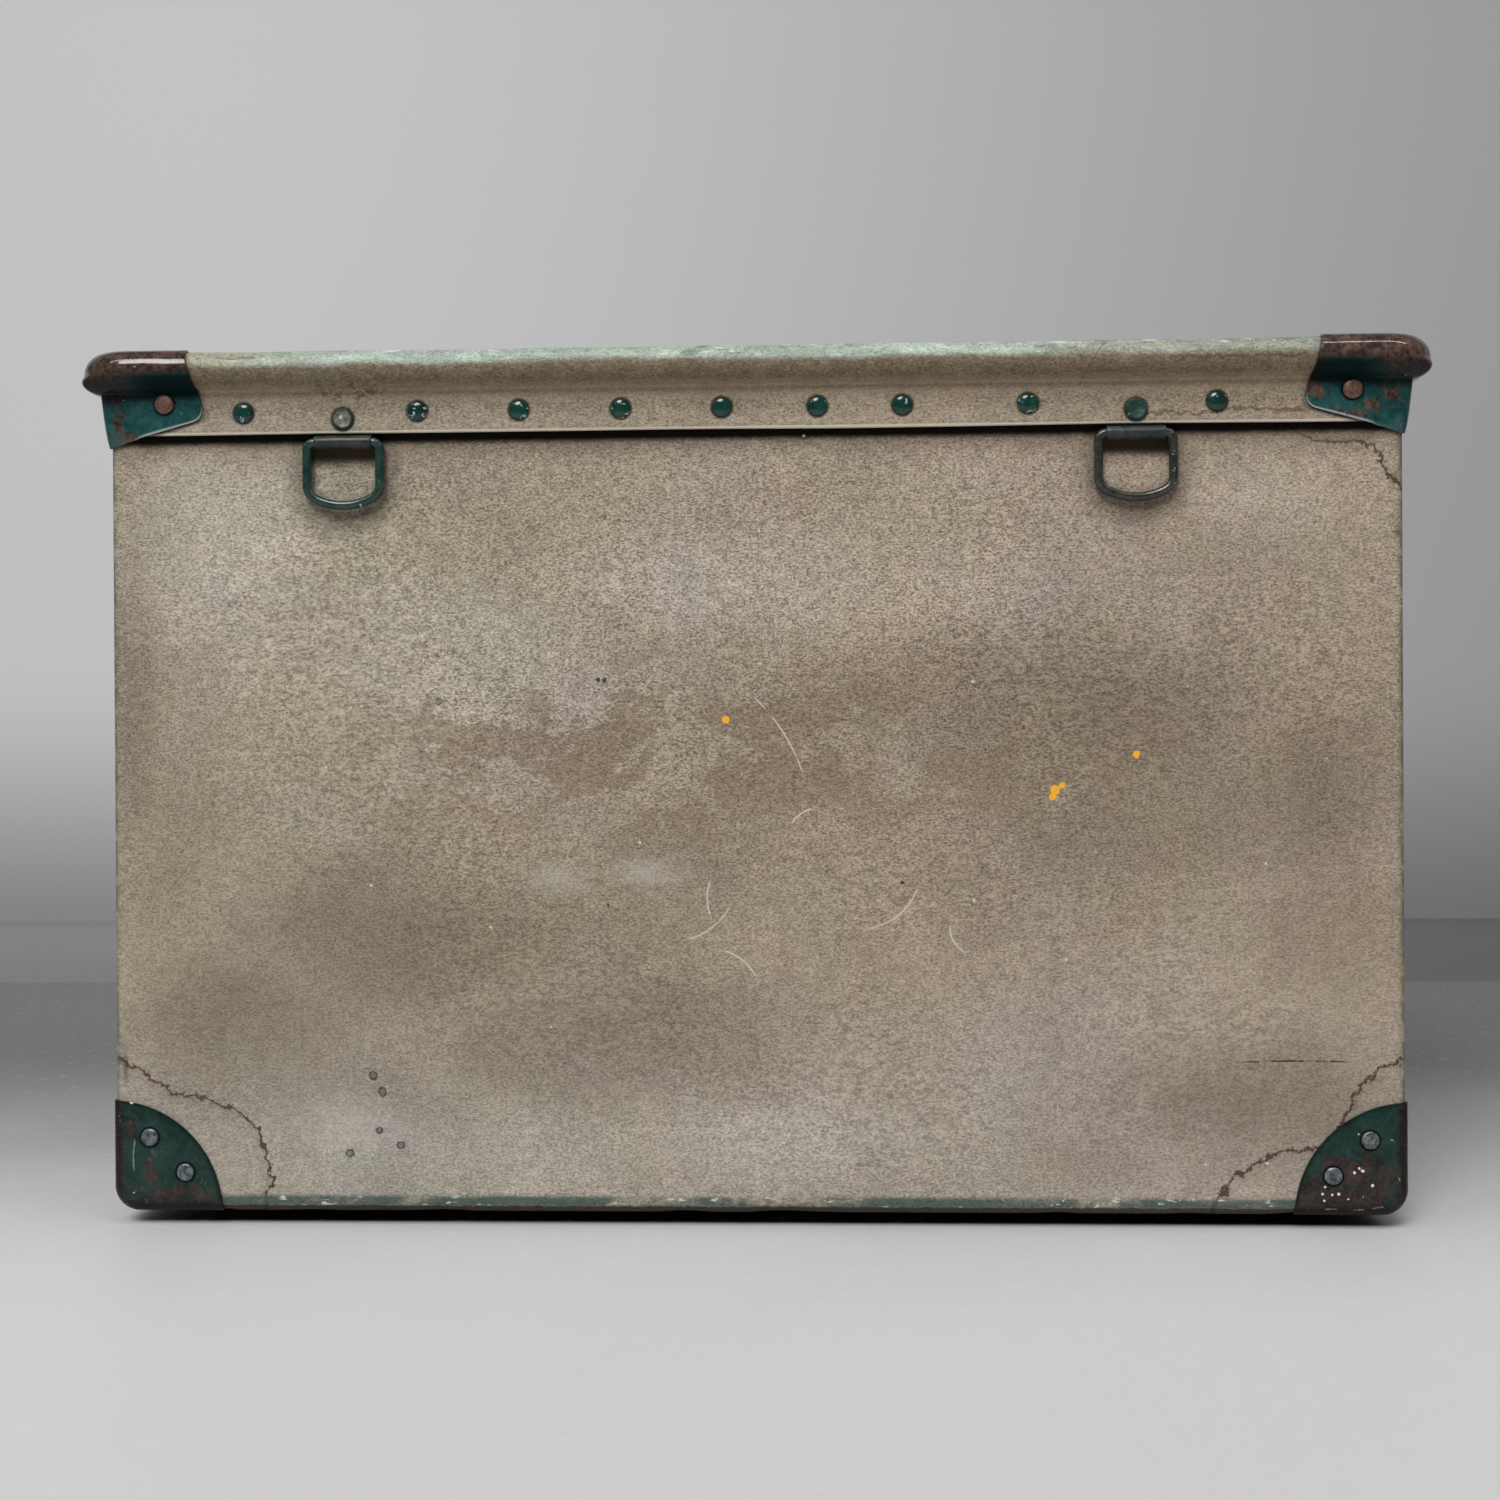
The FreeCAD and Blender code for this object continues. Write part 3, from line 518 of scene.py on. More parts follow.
def front_marks(f, front, fine):
    """Tide marks, spots, paint dots and scratches."""
    uneven = jagged(f, 14, 0.5, 14, 15)
    lines = []
    for (along, up), radii in TIDE_MARKS:
        corner = (along * HALF_W, BASE_Z + up * (COLLAR_Z + 4 - BASE_Z))
        lines.append(tide_line(f, corner, radii, uneven))
    tide = f.times(f.most(lines), front, f.range(f.noise(30, 2.0, shift=27.0), 0.55, 1.30))
    f.lay((68, 46, 27), f.math("MINIMUM", tide, 0.95))
    ragged = f.swing(fine, 8)
    rings = f.less(f.spots(OIL_SPOTS, ragged), f.times(f.spots(OIL_SPOTS, ragged, 0.62), 0.45))
    f.lay((54, 44, 31), rings, front, 0.9)
    f.lay((34, 30, 20), f.spots(BLACK_SPOTS, f.times(ragged, 0.5)), front, 0.9)
    f.lay((246, 176, 40), f.spots(PAINT_DOTS, ragged), front)
    breaks = f.rise(f.noise(8, 2.0, 0.6, shift=33.0), 0.30, 0.48)
    f.lay((210, 204, 190), f.most([scratch(f, *mark, breaks) for mark in SCRATCHES]), front, 0.75)
    f.lay((38, 29, 21), scratch(f, *DARK_SCRATCH, f.rise(fine, 0.36, 0.50)), front)


def ring_marks(f, front, fine):
    """Darker bands round the rings on the front, and the painted shadow under the clips, which is returned.
    """
    clip_shadows = []
    for name in ("front_left", "front_right"):
        low, high = box("d_ring_" + name)
        middle = (low + high) / 2
        way = f.front_reach(middle.x, middle.z - 2)
        ring_band = f.times(f.rise(way, 15, 24), f.rise(way, 42, 26))
        f.lay((74, 62, 54), ring_band, front, f.range(fine, 0.2, 0.7))
        # Painted shadow, near black, under each clip's roll inside the top of the ring
        height = f.add(f.z, f.times(fine, 3))
        clip_shadows.append(f.times(f.rise(f.off(f.x, middle.x), 25, 20), front,
                             f.rise(height, high.z - 17, high.z - 10)))
    clip_shadow = f.most(clip_shadows)
    f.lay((10, 9, 7), clip_shadow, 0.95)
    return clip_shadow


def bend_paint(f, grain, fine):
    """Old green paint left on the bends, with pale chips; returns the painted shade on the underside of the
    base bends.
    """
    side = f.times(f.rise(f.off(f.x), HALF_W - 5, HALF_W - 1), f.rise(f.off(f.y), HALF_D - 11, HALF_D - 5))
    f.lay((84, 92, 72), side, f.rise(fine, 0.38, 0.55), 0.7)
    outward = f.times(f.rise(f.times(f.facing_y, f.y), -20, 0), f.rise(f.facing_z, 0.3, 0.1))
    long_bend = f.times(f.rise(f.off(f.y), HALF_D - 12, HALF_D - 5), outward)
    level = f.add(f.z, f.swing(fine, 3), -BASE_Z)
    bend = f.times(f.rise(level, 10.5, 7.3), f.rise(level, 2.6, 4.2), long_bend)
    worn = f.rise(f.noise(30, 4.0, 0.7, 0.5, stretch=(0.5, 1, 1), shift=13.0), 0.34, 0.52)
    f.lay(f.mix(grain, (44, 63, 57), (80, 101, 92)), bend, worn, 0.94)
    # Painted shade on the underside of the base bends, which faces down
    lower = f.times(f.rise(level, 4.2, 2.6), long_bend)
    f.lay((50, 49, 43), lower, 0.9)
    chips = f.noise(3, 3.0, 0.7, stretch=(0.4, 1, 1), shift=17.0)
    f.lay((214, 216, 208), bend, f.rise(chips, 0.60, 0.66), 0.85)
    return lower


def sheet_finish():
    f = Finish("fibre_sheet")
    upward = f.range(f.rise(f.z, 90, 330), 0.76, 1.12)
    endward = f.range(f.rise(f.off(f.x), 120, 330), 1.0, 0.8)
    grain = f.add(f.times(f.add(fibre_grain(f), -0.5), upward, endward), 0.5)
    fine = f.noise(7, 4.0, 0.65, 0.4, shift=2.0)
    broad = f.noise(60, 4.0, 0.6, 0.5, shift=7.0)
    f.base = fibre_ground(f, grain)

    # Grime in broad clouds and pale haze on the sides that no mark is placed on
    others = f.rise(f.y, 5 - HALF_D, 9 - HALF_D)
    clouds = f.noise(190, 3.0, 0.5, 0.6, shift=9.0)
    f.lay((112, 94, 76), f.rise(clouds, 0.47, 0.66), others, 0.42)
    f.lay((186, 178, 166), f.rise(clouds, 0.46, 0.32), others, f.range(fine, 0.2, 0.6))
    front = f.times(f.rise(f.y, 9 - HALF_D, 5 - HALF_D), f.rise(f.facing_y, 0.0, -0.3))
    front_clouds(f, front, grain, fine, broad)
    front_marks(f, front, fine)
    clip_shadow_mask = ring_marks(f, front, fine)

    # Painted shadow and shade under the collar, with some grime
    outside = f.most([f.rise(f.off(f.y), HALF_D - 3.2, HALF_D - 2.2),
                      f.rise(f.off(f.x), HALF_W - 3.2, HALF_W - 2.2)])
    under = f.times(f.rise(f.add(f.z, f.times(fine, 2)), COLLAR_Z - 7.6, COLLAR_Z - 3.0), outside)
    # Broad painted shade, darker towards the collar's lower edge
    f.lay((94, 76, 60), f.rise(f.add(f.z, f.times(broad, 22)), COLLAR_Z - 12, COLLAR_Z + 10), 0.55)
    # Near-black painted shadow just under the collar, with some grime
    f.lay((11, 9, 7), under, 0.97)
    lower = bend_paint(f, grain, fine)

    # Pale and dark specks
    f.lay((214, 208, 196), f.flecks(9, 0.025, 3.0), 0.9)
    f.lay((58, 50, 40), f.flecks(6, 0.03, 6.0), 0.6)
    # The painted shadows and shade give no reflection
    shine = f.range(f.most([clip_shadow_mask, under, lower]), 0.4, 0.03)
    return f.finish(f.range(fine, 0.50, 0.70), f.add(grain, f.times(fine, 1.2)), 0.12,
                    Specular_IOR_Level=shine)


def head_shade(f, *nodes):
    """Painted shade round the foot of the rivet heads on the front."""
    rings = []
    for node in nodes:
        for low, high in solids_of(node):
            if low.y < -HALF_D - 1:
                way = f.front_reach((low.x + high.x) / 2, (low.z + high.z) / 2)
                radius = (high.x - low.x) / 2
                rings.append(f.rise(way, radius + 1.8, radius + 0.2))
    return f.times(f.most(rings), f.rise(f.y, 1 - HALF_D, -1 - HALF_D))


def cap_edge_shade(f, along, across, half_along, half_across):
    """Painted shadow on a collar beside and below the edges of the rim caps that end its length."""
    inputs = {"Value": f.z, "From Min": CAP_TOP - CAP_EDGE_DROP, "From Max": CAP_TOP,
              "To Min": half_along - CAP_SKIRT_REACH, "To Max": half_along - CAP_TOP_REACH}
    limit = f.make("ShaderNodeMapRange", inputs)
    gap = f.less(limit, f.off(along))
    beside = f.times(f.rise(gap, 2.4, 0.2), f.rise(gap, -2, -1),
                     f.rise(f.z, CAP_TOP - CAP_EDGE_DROP, CAP_TOP - CAP_EDGE_DROP + CAP_ROUND))
    foot = f.add(f.times(f.less(half_along, f.off(along)), CAP_SLOPE), CAP_TOP - CAP_TIP_DROP)
    below = f.times(f.rise(f.less(foot, f.z), 3.0, 0.4), f.rise(gap, CAP_ROUND, -CAP_ROUND))
    edge = half_across - CORNER_IN
    return f.times(f.most([beside, below]), f.rise(f.off(across), edge, edge + 4))


def bead_paint(f, grain, broad):
    """Pale paint with a soft lower limit, more cream at some lengths, worn to white in dashes that are also
    painted highlights along the bead's upper face.
    """
    streaks = f.noise(16, 4.0, 0.7, 0.3, stretch=(0.3, 0.3, 1.4), shift=9.0)
    height = f.add(f.z, f.swing(streaks, 9), -BEAD_Z)
    top = f.rise(height, -0.5, 4.5)
    cream = f.mix(grain, (150, 146, 118), (206, 202, 176))
    green = f.mix(grain, (132, 152, 137), (202, 216, 203))
    paint = f.mix(f.rise(f.add(f.x, f.times(broad, 300)), -180, -60), cream, green)
    faded = f.rise(f.add(f.x, f.times(broad, 200)), 200, 320)
    paint = f.mix(f.times(faded, 0.75), paint, f.mix(grain, (96, 96, 82), (164, 164, 146)))
    blotches = f.rise(f.noise(9, 4.0, 0.75, 0.4, stretch=(0.35, 0.35, 1.2), shift=45.0), 0.36, 0.64)
    f.lay(f.tint(paint, f.range(blotches, 0.80, 1.20)), top, f.range(streaks, 0.75, 1.0))
    # White dashes: worn paint, and painted highlights where the bead's upper face meets the light
    dashes_and_glints = f.noise(4, 4.0, 0.75, stretch=(0.2, 0.2, 1), shift=12.0)
    f.lay((226, 228, 218), f.rise(height, 4, 8), f.rise(dashes_and_glints, 0.58, 0.65), 0.7)
    scars = f.noise(5, 4.0, 0.7, stretch=(0.15, 0.15, 1), shift=15.0)
    f.lay((74, 78, 62), top, f.rise(scars, 0.64, 0.69), 0.6)


def strip_marks(f, fine, broad):
    """Specks, tide marks and cracks on the front collar alone."""
    front = f.rise(f.y, 2 - HALF_D, -2 - HALF_D)
    specks = f.rise(f.noise(1.9, 3.0, 0.7, shift=19.0), 0.52, 0.57)
    f.lay((40, 38, 32), f.cloud(*STRIP_SPECKS, broad), front, specks, 0.9)
    uneven_z = f.add(f.z, jagged(f, 16, 0.55, 8, 10))
    for x, z, half in STRIP_TIDES:
        span = f.rise(f.off(f.x, x), half, 0.85 * half)
        f.lay((92, 66, 40), f.rise(f.off(uneven_z, z), 1.4, 0.4), span, front, 0.75)
    breaks = f.range(fine, 0.4, 1.0)
    f.lay((70, 56, 42), f.most([scratch(f, *mark, breaks) for mark in STRIP_CRACKS]), front, 0.6)


def strip_finish():
    """Collar strip: the same fibre, with pale green paint worn along the bead."""
    f = Finish("fibre_strip")
    grain = fibre_grain(f)
    fine = f.noise(7, 4.0, 0.65, 0.4, shift=4.0)
    broad = f.noise(60, 4.0, 0.6, 0.5, shift=8.0)
    f.base = f.tint(fibre_ground(f, grain), 0.88, 1.12)
    f.lay((180, 168, 150), f.rise(f.z, COLLAR_Z + 20, COLLAR_Z + 1), 0.3)
    pits = f.noise(0.8, 3.0, 0.7, stretch=(0.6, 0.6, 1), shift=35.0)
    f.lay((72, 58, 44), f.rise(pits, 0.52, 0.62), 0.5)
    f.lay((90, 74, 50), f.rise(f.z, BEAD_Z - 16, BEAD_Z - 8), f.range(fine, 0.35, 0.75))
    # Painted light: the band about the crease is lightened against the shade under the bead
    f.lay((186, 166, 140), f.rise(f.z, BEAD_Z - 24, BEAD_Z - 15), f.rise(f.z, BEAD_Z - 8, BEAD_Z - 13), 0.4)
    bead_paint(f, grain, broad)
    # Painted highlight along the collar's lower cut edge
    f.lay((212, 202, 184), f.rise(f.z, COLLAR_Z + 1.1, COLLAR_Z + 0.5), 0.8)
    strip_marks(f, fine, broad)
    f.lay((54, 48, 38), f.flecks(7, 0.05, 2.0), 0.6)

    # Painted shade round the rivets, and painted shadow along and below the edges of the caps
    edge_shade = f.most([head_shade(f, "collar_rivets_front", "clip_rivets"),
                   cap_edge_shade(f, f.x, f.y, HALF_W, HALF_D), cap_edge_shade(f, f.y, f.x, HALF_D, HALF_W)])
    f.lay((30, 26, 20), edge_shade, 0.8)
    return f.finish(f.range(fine, 0.42, 0.62), f.add(grain, f.times(fine, 1.2)), 0.12,
                    Specular_IOR_Level=f.range(edge_shade, 0.4, 0.05))


# Metal: enamel over steel, worn through to rust and bare steel

RUST = ((42, 33, 29), (102, 80, 70))
CAP_PATCHES = ((376, 489, 10, 8), (333, 494, 7, 7), (351, 479.5, 12, 4), (-380, 481, 4.5, 9),
               (-371, 473, 7, 3.5), (364, 484, 9, 4), (-379, 497, 5, 6))
BASE_PATCHES = ((-363, 33, 4, 11), (-374, 60, 4, 8), (-345, 20, 10, 5), (357, 35, 26, 14), (343, 22, 30, 9))
# Pale specks on the base caps; the last, on the left cap's top edge, is a painted highlight
BASE_SPECKS_AND_GLINT = ((353.5, 34, 0.9), (356.5, 36.5, 0.8), (358.5, 35, 1.2), (336.5, 25.5, 0.8), (335, 21.5, 0.9),
               (340.5, 21, 0.8), (336, 17.5, 0.7), (344.5, 21.5, 0.9), (350, 18.5, 0.7), (364, 26.5, 1.0),
               (-374, 74, 1.5))
BASE_SCRATCHES = ((-373, 42, 22, 88, 1), (340, 12.4, 8, 0, 0.2), (356, 12.0, 7, 3, 0.2),
                  (367, 13.4, 8, 10, 0.2))


def cap_borders(f):
    """Nearness to the folded edges and to the rim of a base cap, each 0 to 1."""
    across = f.less(HALF_W + CAP_OUT, f.off(f.x))
    along = f.less(HALF_D + CAP_OUT, f.off(f.y))
    up = f.add(f.z, CAP_OUT - BASE_Z)
    larger = f.math("MINIMUM", f.most([across, along]), up)
    middle = f.most([f.math("MINIMUM", across, along), larger])
    reach = f.length(f.make("ShaderNodeCombineXYZ", {0: across, 1: along, 2: up}))
    return f.rise(middle, 15, 3), f.rise(reach, 0.93 * BASE_CAP_REACH, BASE_CAP_REACH)


def enamel_finish(name, dark, light, rust_share, gloss, chip_share=0.0, under=RUST, chip_level=0.70,
                  soft=0.06, relief=0.15, shine=0.5, patches=(), specks=(), lines=(), heads=(),
                  borders=False):
    """Enamel worn to rust in spots, where the mesh says wear and at the patches placed on the front, with
    painted shade and pale edge highlights where the mesh says.
    """
    f = Finish(name)
    fine = f.noise(2.2, 4.0, 0.7, 0.4, shift=1.0)
    blots = f.noise(10, 5.0, 0.7, 0.7, shift=2.0)
    front = f.rise(f.y, 1 - HALF_D, -0.5 - HALF_D)
    worn, shade_share = f.value("wear"), f.value("painted_shade")
    if borders:
        edge, rim = cap_borders(f)
        worn = f.most([f.times(edge, 0.95), f.times(rim, 0.5), f.rise(f.z, BASE_Z + 50, BASE_Z - 20)])
        # Painted shade along the folded edges and the rim
        shade_share = f.times(f.most([f.times(edge, edge, edge), f.times(rim, rim)]), 0.6)
    wear = f.add(f.times(worn, 0.55), f.times(blots, 0.65), f.times(fine, 0.25))
    if patches:
        ragged = f.add(f.times(f.noise(4.5, 4.0, 0.7, 0.5, shift=11.0), 4.6), f.times(fine, 1.2), -2.4)
        wear = f.add(wear, f.times(f.clouds(patches, ragged), front, 0.75))
    rust = f.rise(wear, 0.90 - soft - rust_share, 0.90 + soft - rust_share)
    brown = f.mix(f.rise(f.add(f.times(fine, 0.6), f.times(blots, 0.4)), 0.38, 0.64), *under)
    if patches and not borders:
        brown = f.tint(brown, f.range(f.rise(f.x, -200, 200), 0.90, 1.16))
    f.base = f.mix(f.rise(f.add(f.times(blots, 0.7), f.times(fine, 0.3)), 0.36, 0.64), dark, light)
    f.lay(brown, rust)

    # Scuffs, chips, bare edges painted pale as their highlight, painted shade, then pale marks placed on the
    # front
    scuffs = f.noise(5, 4.0, 0.75, 0.6, stretch=(1, 1, 0.5), shift=8.0)
    f.lay((110, 112, 106), f.rise(scuffs, 0.62, 0.70), 0.3)
    chips = f.add(f.noise(2.6, 3.0, 0.7, 0.4, shift=14.0), f.times(worn, chip_share))
    f.lay((196, 208, 204), f.rise(chips, chip_level - 0.04, chip_level), 0.85)
    # Pale bare edges: worn steel, painted pale as the edge's highlight
    f.lay((190, 196, 192), f.value("bare"), f.rise(blots, 0.30, 0.42), 0.9)
    # Painted shade where the mesh says, and round the rivet heads; it also loses its reflection
    painted_shade = f.math("MINIMUM", f.times(shade_share, f.range(blots, 0.8, 1.3)), 1.0)
    if heads:
        painted_shade = f.most([painted_shade, head_shade(f, *heads)])
    f.lay((7, 15, 14), painted_shade, 0.9)
    pale = [f.spot(*speck, f.swing(fine, 2)) for speck in specks]
    pale += [f.times(scratch(f, *line, f.rise(fine, 0.3, 0.6)), 0.3) for line in lines]
    if pale:
        f.lay((226, 224, 218), f.most(pale), front, 0.9)
    rough = f.add(f.times(rust, 0.02), f.range(fine, 0.7 * gloss, 1.4 * gloss))
    height = f.add(blots, f.times(fine, 0.5), f.times(rust, 0.3))
    return f.finish(rough, height, relief, Specular_IOR_Level=f.range(painted_shade, shine, 0.02))


def steel_finish(name, dark, light, rust_share, metallic):
    """Bare or nearly bare steel with rust in spots."""
    f = Finish(name)
    fine = f.noise(1.6, 4.0, 0.7, 0.5, shift=3.0)
    blots = f.noise(6, 4.0, 0.6, 0.5, shift=6.0)
    f.base = f.mix(f.rise(fine, 0.35, 0.65), dark, light)
    rust = f.rise(f.add(f.times(blots, 0.7), f.times(fine, 0.3)), 0.72 - rust_share, 0.80 - rust_share)
    f.lay(f.mix(fine, (70, 46, 34), (150, 102, 74)), rust)
    rough = f.add(f.times(rust, 0.3), f.range(fine, 0.30, 0.48))
    return f.finish(rough, f.add(blots, fine), 0.10, Metallic=metallic)


def wood_finish():
    """Dirty softwood: growth rings stretched along the length."""
    f = Finish("runner_wood")
    rings = f.noise(5, 4.0, 0.6, 1.2, stretch=(0.05, 1, 1), shift=1.0)
    pores = f.noise(1.2, 3.0, 0.7, stretch=(0.04, 1, 1), shift=4.0)
    f.base = f.mix(f.rise(rings, 0.35, 0.65), (82, 62, 44), (124, 98, 70))
    f.lay((52, 38, 28), f.rise(pores, 0.55, 0.7), 0.6)
    f.lay((62, 54, 46), f.rise(f.noise(60, 4.0, 0.6, 0.5, shift=7.0), 0.45, 0.7), 0.5)
    return f.finish(f.range(pores, 0.6, 0.85), f.add(rings, pores), 0.25)


# Body: the folded sheet and the end panels

def body_sheet(material):
    """Front, floor and back in one sheet, with flanges folded onto the ends."""
    flat = HALF_W - END_RADIUS
    notch_z = BASE_Z + NOTCH
    upper = spread(WALL_TOP, FLANGE_TOP, 6)
    middle = spread(FLANGE_TOP, notch_z, 64)[1:]
    lower = spread(notch_z, BASE_Z + FOLD_RADIUS, 3)[1:]
    wall = [(-HALF_D, z) for z in upper + middle + lower]
    fold_y = FOLD_RADIUS - HALF_D
    bend = arc((fold_y, BASE_Z + FOLD_RADIUS), FOLD_RADIUS, 2 * QUARTER, 3 * QUARTER, 9)[1:]
    inner_y = spread(NOTCH - HALF_D, 0, 34)
    half = wall + bend + [(y, BASE_Z) for y in spread(fold_y, NOTCH - HALF_D, 3)[1:] + inner_y[1:]]
    path = half + [(-y, z) for y, z in reversed(half[:-1])]
    skin = Skin([[(x, y, z) for x in spread(-flat, flat, 110)] for y, z in path])

    plan = [(flat, -HALF_D)] + arc((HALF_W - FOLD_RADIUS, fold_y), FOLD_RADIUS, -QUARTER, 0, 9)
    plan += [(HALF_W, y) for y in spread(fold_y, FLANGE - HALF_D, 9)[1:]]
    for across, along in CORNERS.values():
        skin.patch([[(across * x, along * y, flange_height(y, z)) for x, y in plan] for z in upper + middle])

    rise = arc((flat, BASE_Z + END_RADIUS), END_RADIUS, -QUARTER, 0, 9)
    rise += [(HALF_W, z) for z in spread(BASE_Z + END_RADIUS, BASE_Z + FLANGE, 8)[1:]]
    floor_y = inner_y + [-y for y in reversed(inner_y[:-1])]
    for across in (-1, 1):
        rows = []
        for x, z in rise:
            share = (HALF_D - max(NOTCH, z - BASE_Z + SEAM_GAP)) / (HALF_D - NOTCH)
            rows.append([(across * x, y * share, z) for y in floor_y])
        skin.patch(rows)

    skin.points = [settled(Vector(p)) for p in skin.points]
    piece = make_piece("body_sheet", skin, material, ["main_sheet"], merge=0.02,
                       facing=Vector((0, -1, 0)))
    thicken(piece, SHEET, SHEET_EDGE)


def flange_height(y, z):
    """Height on an upright flange, whose foot is cut on the slant to clear the flange of the floor."""
    fold = y + HALF_D
    if fold <= FOLD_RADIUS + SEAM_GAP:
        return z
    notch_z = BASE_Z + NOTCH
    foot = BASE_Z + max(NOTCH, fold + SEAM_GAP)
    share = (min(z, FLANGE_TOP) - notch_z) / (FLANGE_TOP - notch_z)
    return foot + share * (FLANGE_TOP - foot)


def settled(p):
    """Point of the sheet after years of use: walls bow a little, and the long base bends wave."""
    side = copysign(1.0, p.y)
    on_wall = smooth(abs(p.y), HALF_D - 1, HALF_D - 0.2)
    clear = smooth(p.z, BASE_Z + 12, BASE_Z + 60) * smooth(p.z, COLLAR_Z - 2, COLLAR_Z - 60)
    clear *= smooth(abs(p.x), HALF_W - 8, HALF_W - 50)
    bow = 1.7 * drift(p.x / 160, p.z / 130, seed=side) + 0.5 * drift(p.x / 50, p.z / 60, seed=4 * side)
    p.y += side * on_wall * clear * bow
    low = smooth(p.z, BASE_Z + 9, BASE_Z + 1) * smooth(abs(p.y), HALF_D - 40, HALF_D - 12)
    low *= smooth(abs(p.x), HALF_W - 25, HALF_W - 70)
    p.z += low * (2.6 * max(0.0, drift(p.x / 40, seed=2 + side)) - 1.1)
    return p


def end_panel(name, across, material):
    """End panel: a field flush with the flanges, and an edge pressed back behind them."""
    inner = FLANGE + SEAM_GAP
    field_y = inner + PANEL_PRESS - HALF_D
    y_lines = spread(FOLD_RADIUS + SEAM_GAP - HALF_D, inner - HALF_D, 14)
    y_lines += spread(inner - HALF_D, field_y, 6)[1:] + spread(field_y, 0, 36)[1:]
    y_lines += [-y for y in reversed(y_lines[:-1])]
    low = BASE_Z + inner
    high = FLANGE_TOP + SEAM_GAP
    z_lines = spread(BASE_Z + END_RADIUS + SEAM_GAP, low, 12) + spread(low, low + PANEL_PRESS, 6)[1:]
    z_lines += spread(low + PANEL_PRESS, high, 60)[1:] + spread(high, high + PANEL_PRESS, 5)[1:]
    z_lines += spread(high + PANEL_PRESS, WALL_TOP, 5)[1:]
    rows = []
    for z in z_lines:
        row = []
        for y in y_lines:
            field = min(smooth(abs(y), HALF_D - inner, -field_y), smooth(z, low, low + PANEL_PRESS))
            field = max(field, smooth(z, high, high + PANEL_PRESS))
            clear = smooth(abs(y), HALF_D - 70, HALF_D - 130)
            clear *= smooth(z, BASE_Z + 70, BASE_Z + 130) * smooth(z, COLLAR_Z, COLLAR_Z - 60)
            bow = 1.3 * drift(y / 140, z / 150, seed=6 + across)
            back = (1 - field) * (SHEET + 0.1)
            row.append((across * (HALF_W - back + clear * bow), y, z))
        rows.append(row)
    piece = make_piece("panel_" + name, Skin(rows), material, ["end_panel_" + name],
                       facing=Vector((across, 0, 0)))
    thicken(piece, SHEET, SHEET_EDGE)


# Rim: collar strips and steel corner caps

def strip_line(offset, inner_drop, outer_drop):
    """Points (u, v) on the strip's outer face, pushed out: inner leg, bead, crease and outer leg."""
    radius = BEAD_R + offset
    turn = atan2(CREASE_V, CREASE_U - BEAD_OUT)
    line = [(BEAD_OUT - radius, v) for v in spread(-inner_drop, 0, 6)]
    line += arc((BEAD_OUT, 0), radius, pi, turn, 34)[1:]
    line += arc((CREASE_U, CREASE_V), CREASE_RADIUS - offset, turn + pi, pi, 6)[1:]
    line += [(LEG_OUT + offset, v) for v in spread(CREASE_V, -outer_drop, 9)[1:]]
    return line


def strip_section(drop, edge):
    """Closed outline of the collar strip, with its two cut edges eased."""
    def eased(left, right):
        end = arc((right - edge, edge - drop), edge, 0, -QUARTER, 4)[1:]
        return end + arc((left + edge, edge - drop), edge, -QUARTER, -2 * QUARTER, 4)[:-1]
    outer = strip_line(0.0, drop - edge, drop - edge)
    inner = strip_line(-STRIP, drop - edge, drop - edge)
    far = BEAD_OUT - BEAD_R
    return outer + eased(LEG_OUT - STRIP, LEG_OUT) + inner[::-1] + eased(far, far + STRIP)


def collar(side, material):
    half = (HALF_W if side in ("front", "back") else HALF_D) - CORNER_IN - COLLAR_UNDER_CAP
    drop = BEAD_Z - COLLAR_Z + COLLAR_SAG
    section = strip_section(drop, COLLAR_EDGE)
    seed = 11.0 + SIDES[side]
    rows = []
    for along in spread(-half, half, int(2 * half / COLLAR_STEP)):
        row = []
        ends = smooth(abs(along), half - 25, half - 70)
        for u, v in section:
            leg = ends * smooth(v, CREASE_V, -drop) * (u > 0)
            u += leg * 0.35 * (1 + drift(along / 70, seed=seed))
            v += leg * 0.7 * drift(along / 110, seed=seed + 5)
            bead = ends * smooth(v, CREASE_V, CREASE_V + 6)
            dent = 0.35 * bead * (drift(along / 60, v / 20, seed=seed + 9) - 0.6)
            row.append(on_side(side, along, u + dent * (u > BEAD_OUT), BEAD_Z + v + dent * (v > 0)))
        rows.append(row)
    skin = Skin(rows, wrap=True)
    skin.lid(0, len(section))
    skin.lid(len(skin.points) - len(section), len(section))
    make_piece("collar_" + side, skin, material, ["rim_collar_" + side])


def cap_reach(share, drop):
    """Place along a rim cap's arm, from the end face, at a share of its length and a drop below its top."""
    down = min(1.0, max(0.0, drop / CAP_EDGE_DROP))
    reach = CAP_TOP_REACH + (CAP_SKIRT_REACH - CAP_TOP_REACH) * down
    return CORNER_IN + share * (reach - CORNER_IN)


def cap_lean(turn, s):
    """How far the skirt's tip leans in towards the wall, at a turn round the corner."""
    away = min(turn, QUARTER - turn)
    bend_at = (CORNER_IN - FOLD_RADIUS) * (cos(away) + sin(away)) + FOLD_RADIUS
    wall = min(bend_at, CORNER_IN / cos(away)) - CORNER_IN
    room = max(0.0, CAP_FACE - wall - CAP_OUT - 0.2)
    return room * smooth(s, CORNER_IN + COLLAR_UNDER_CAP, CORNER_IN + 0.3 * COLLAR_UNDER_CAP)


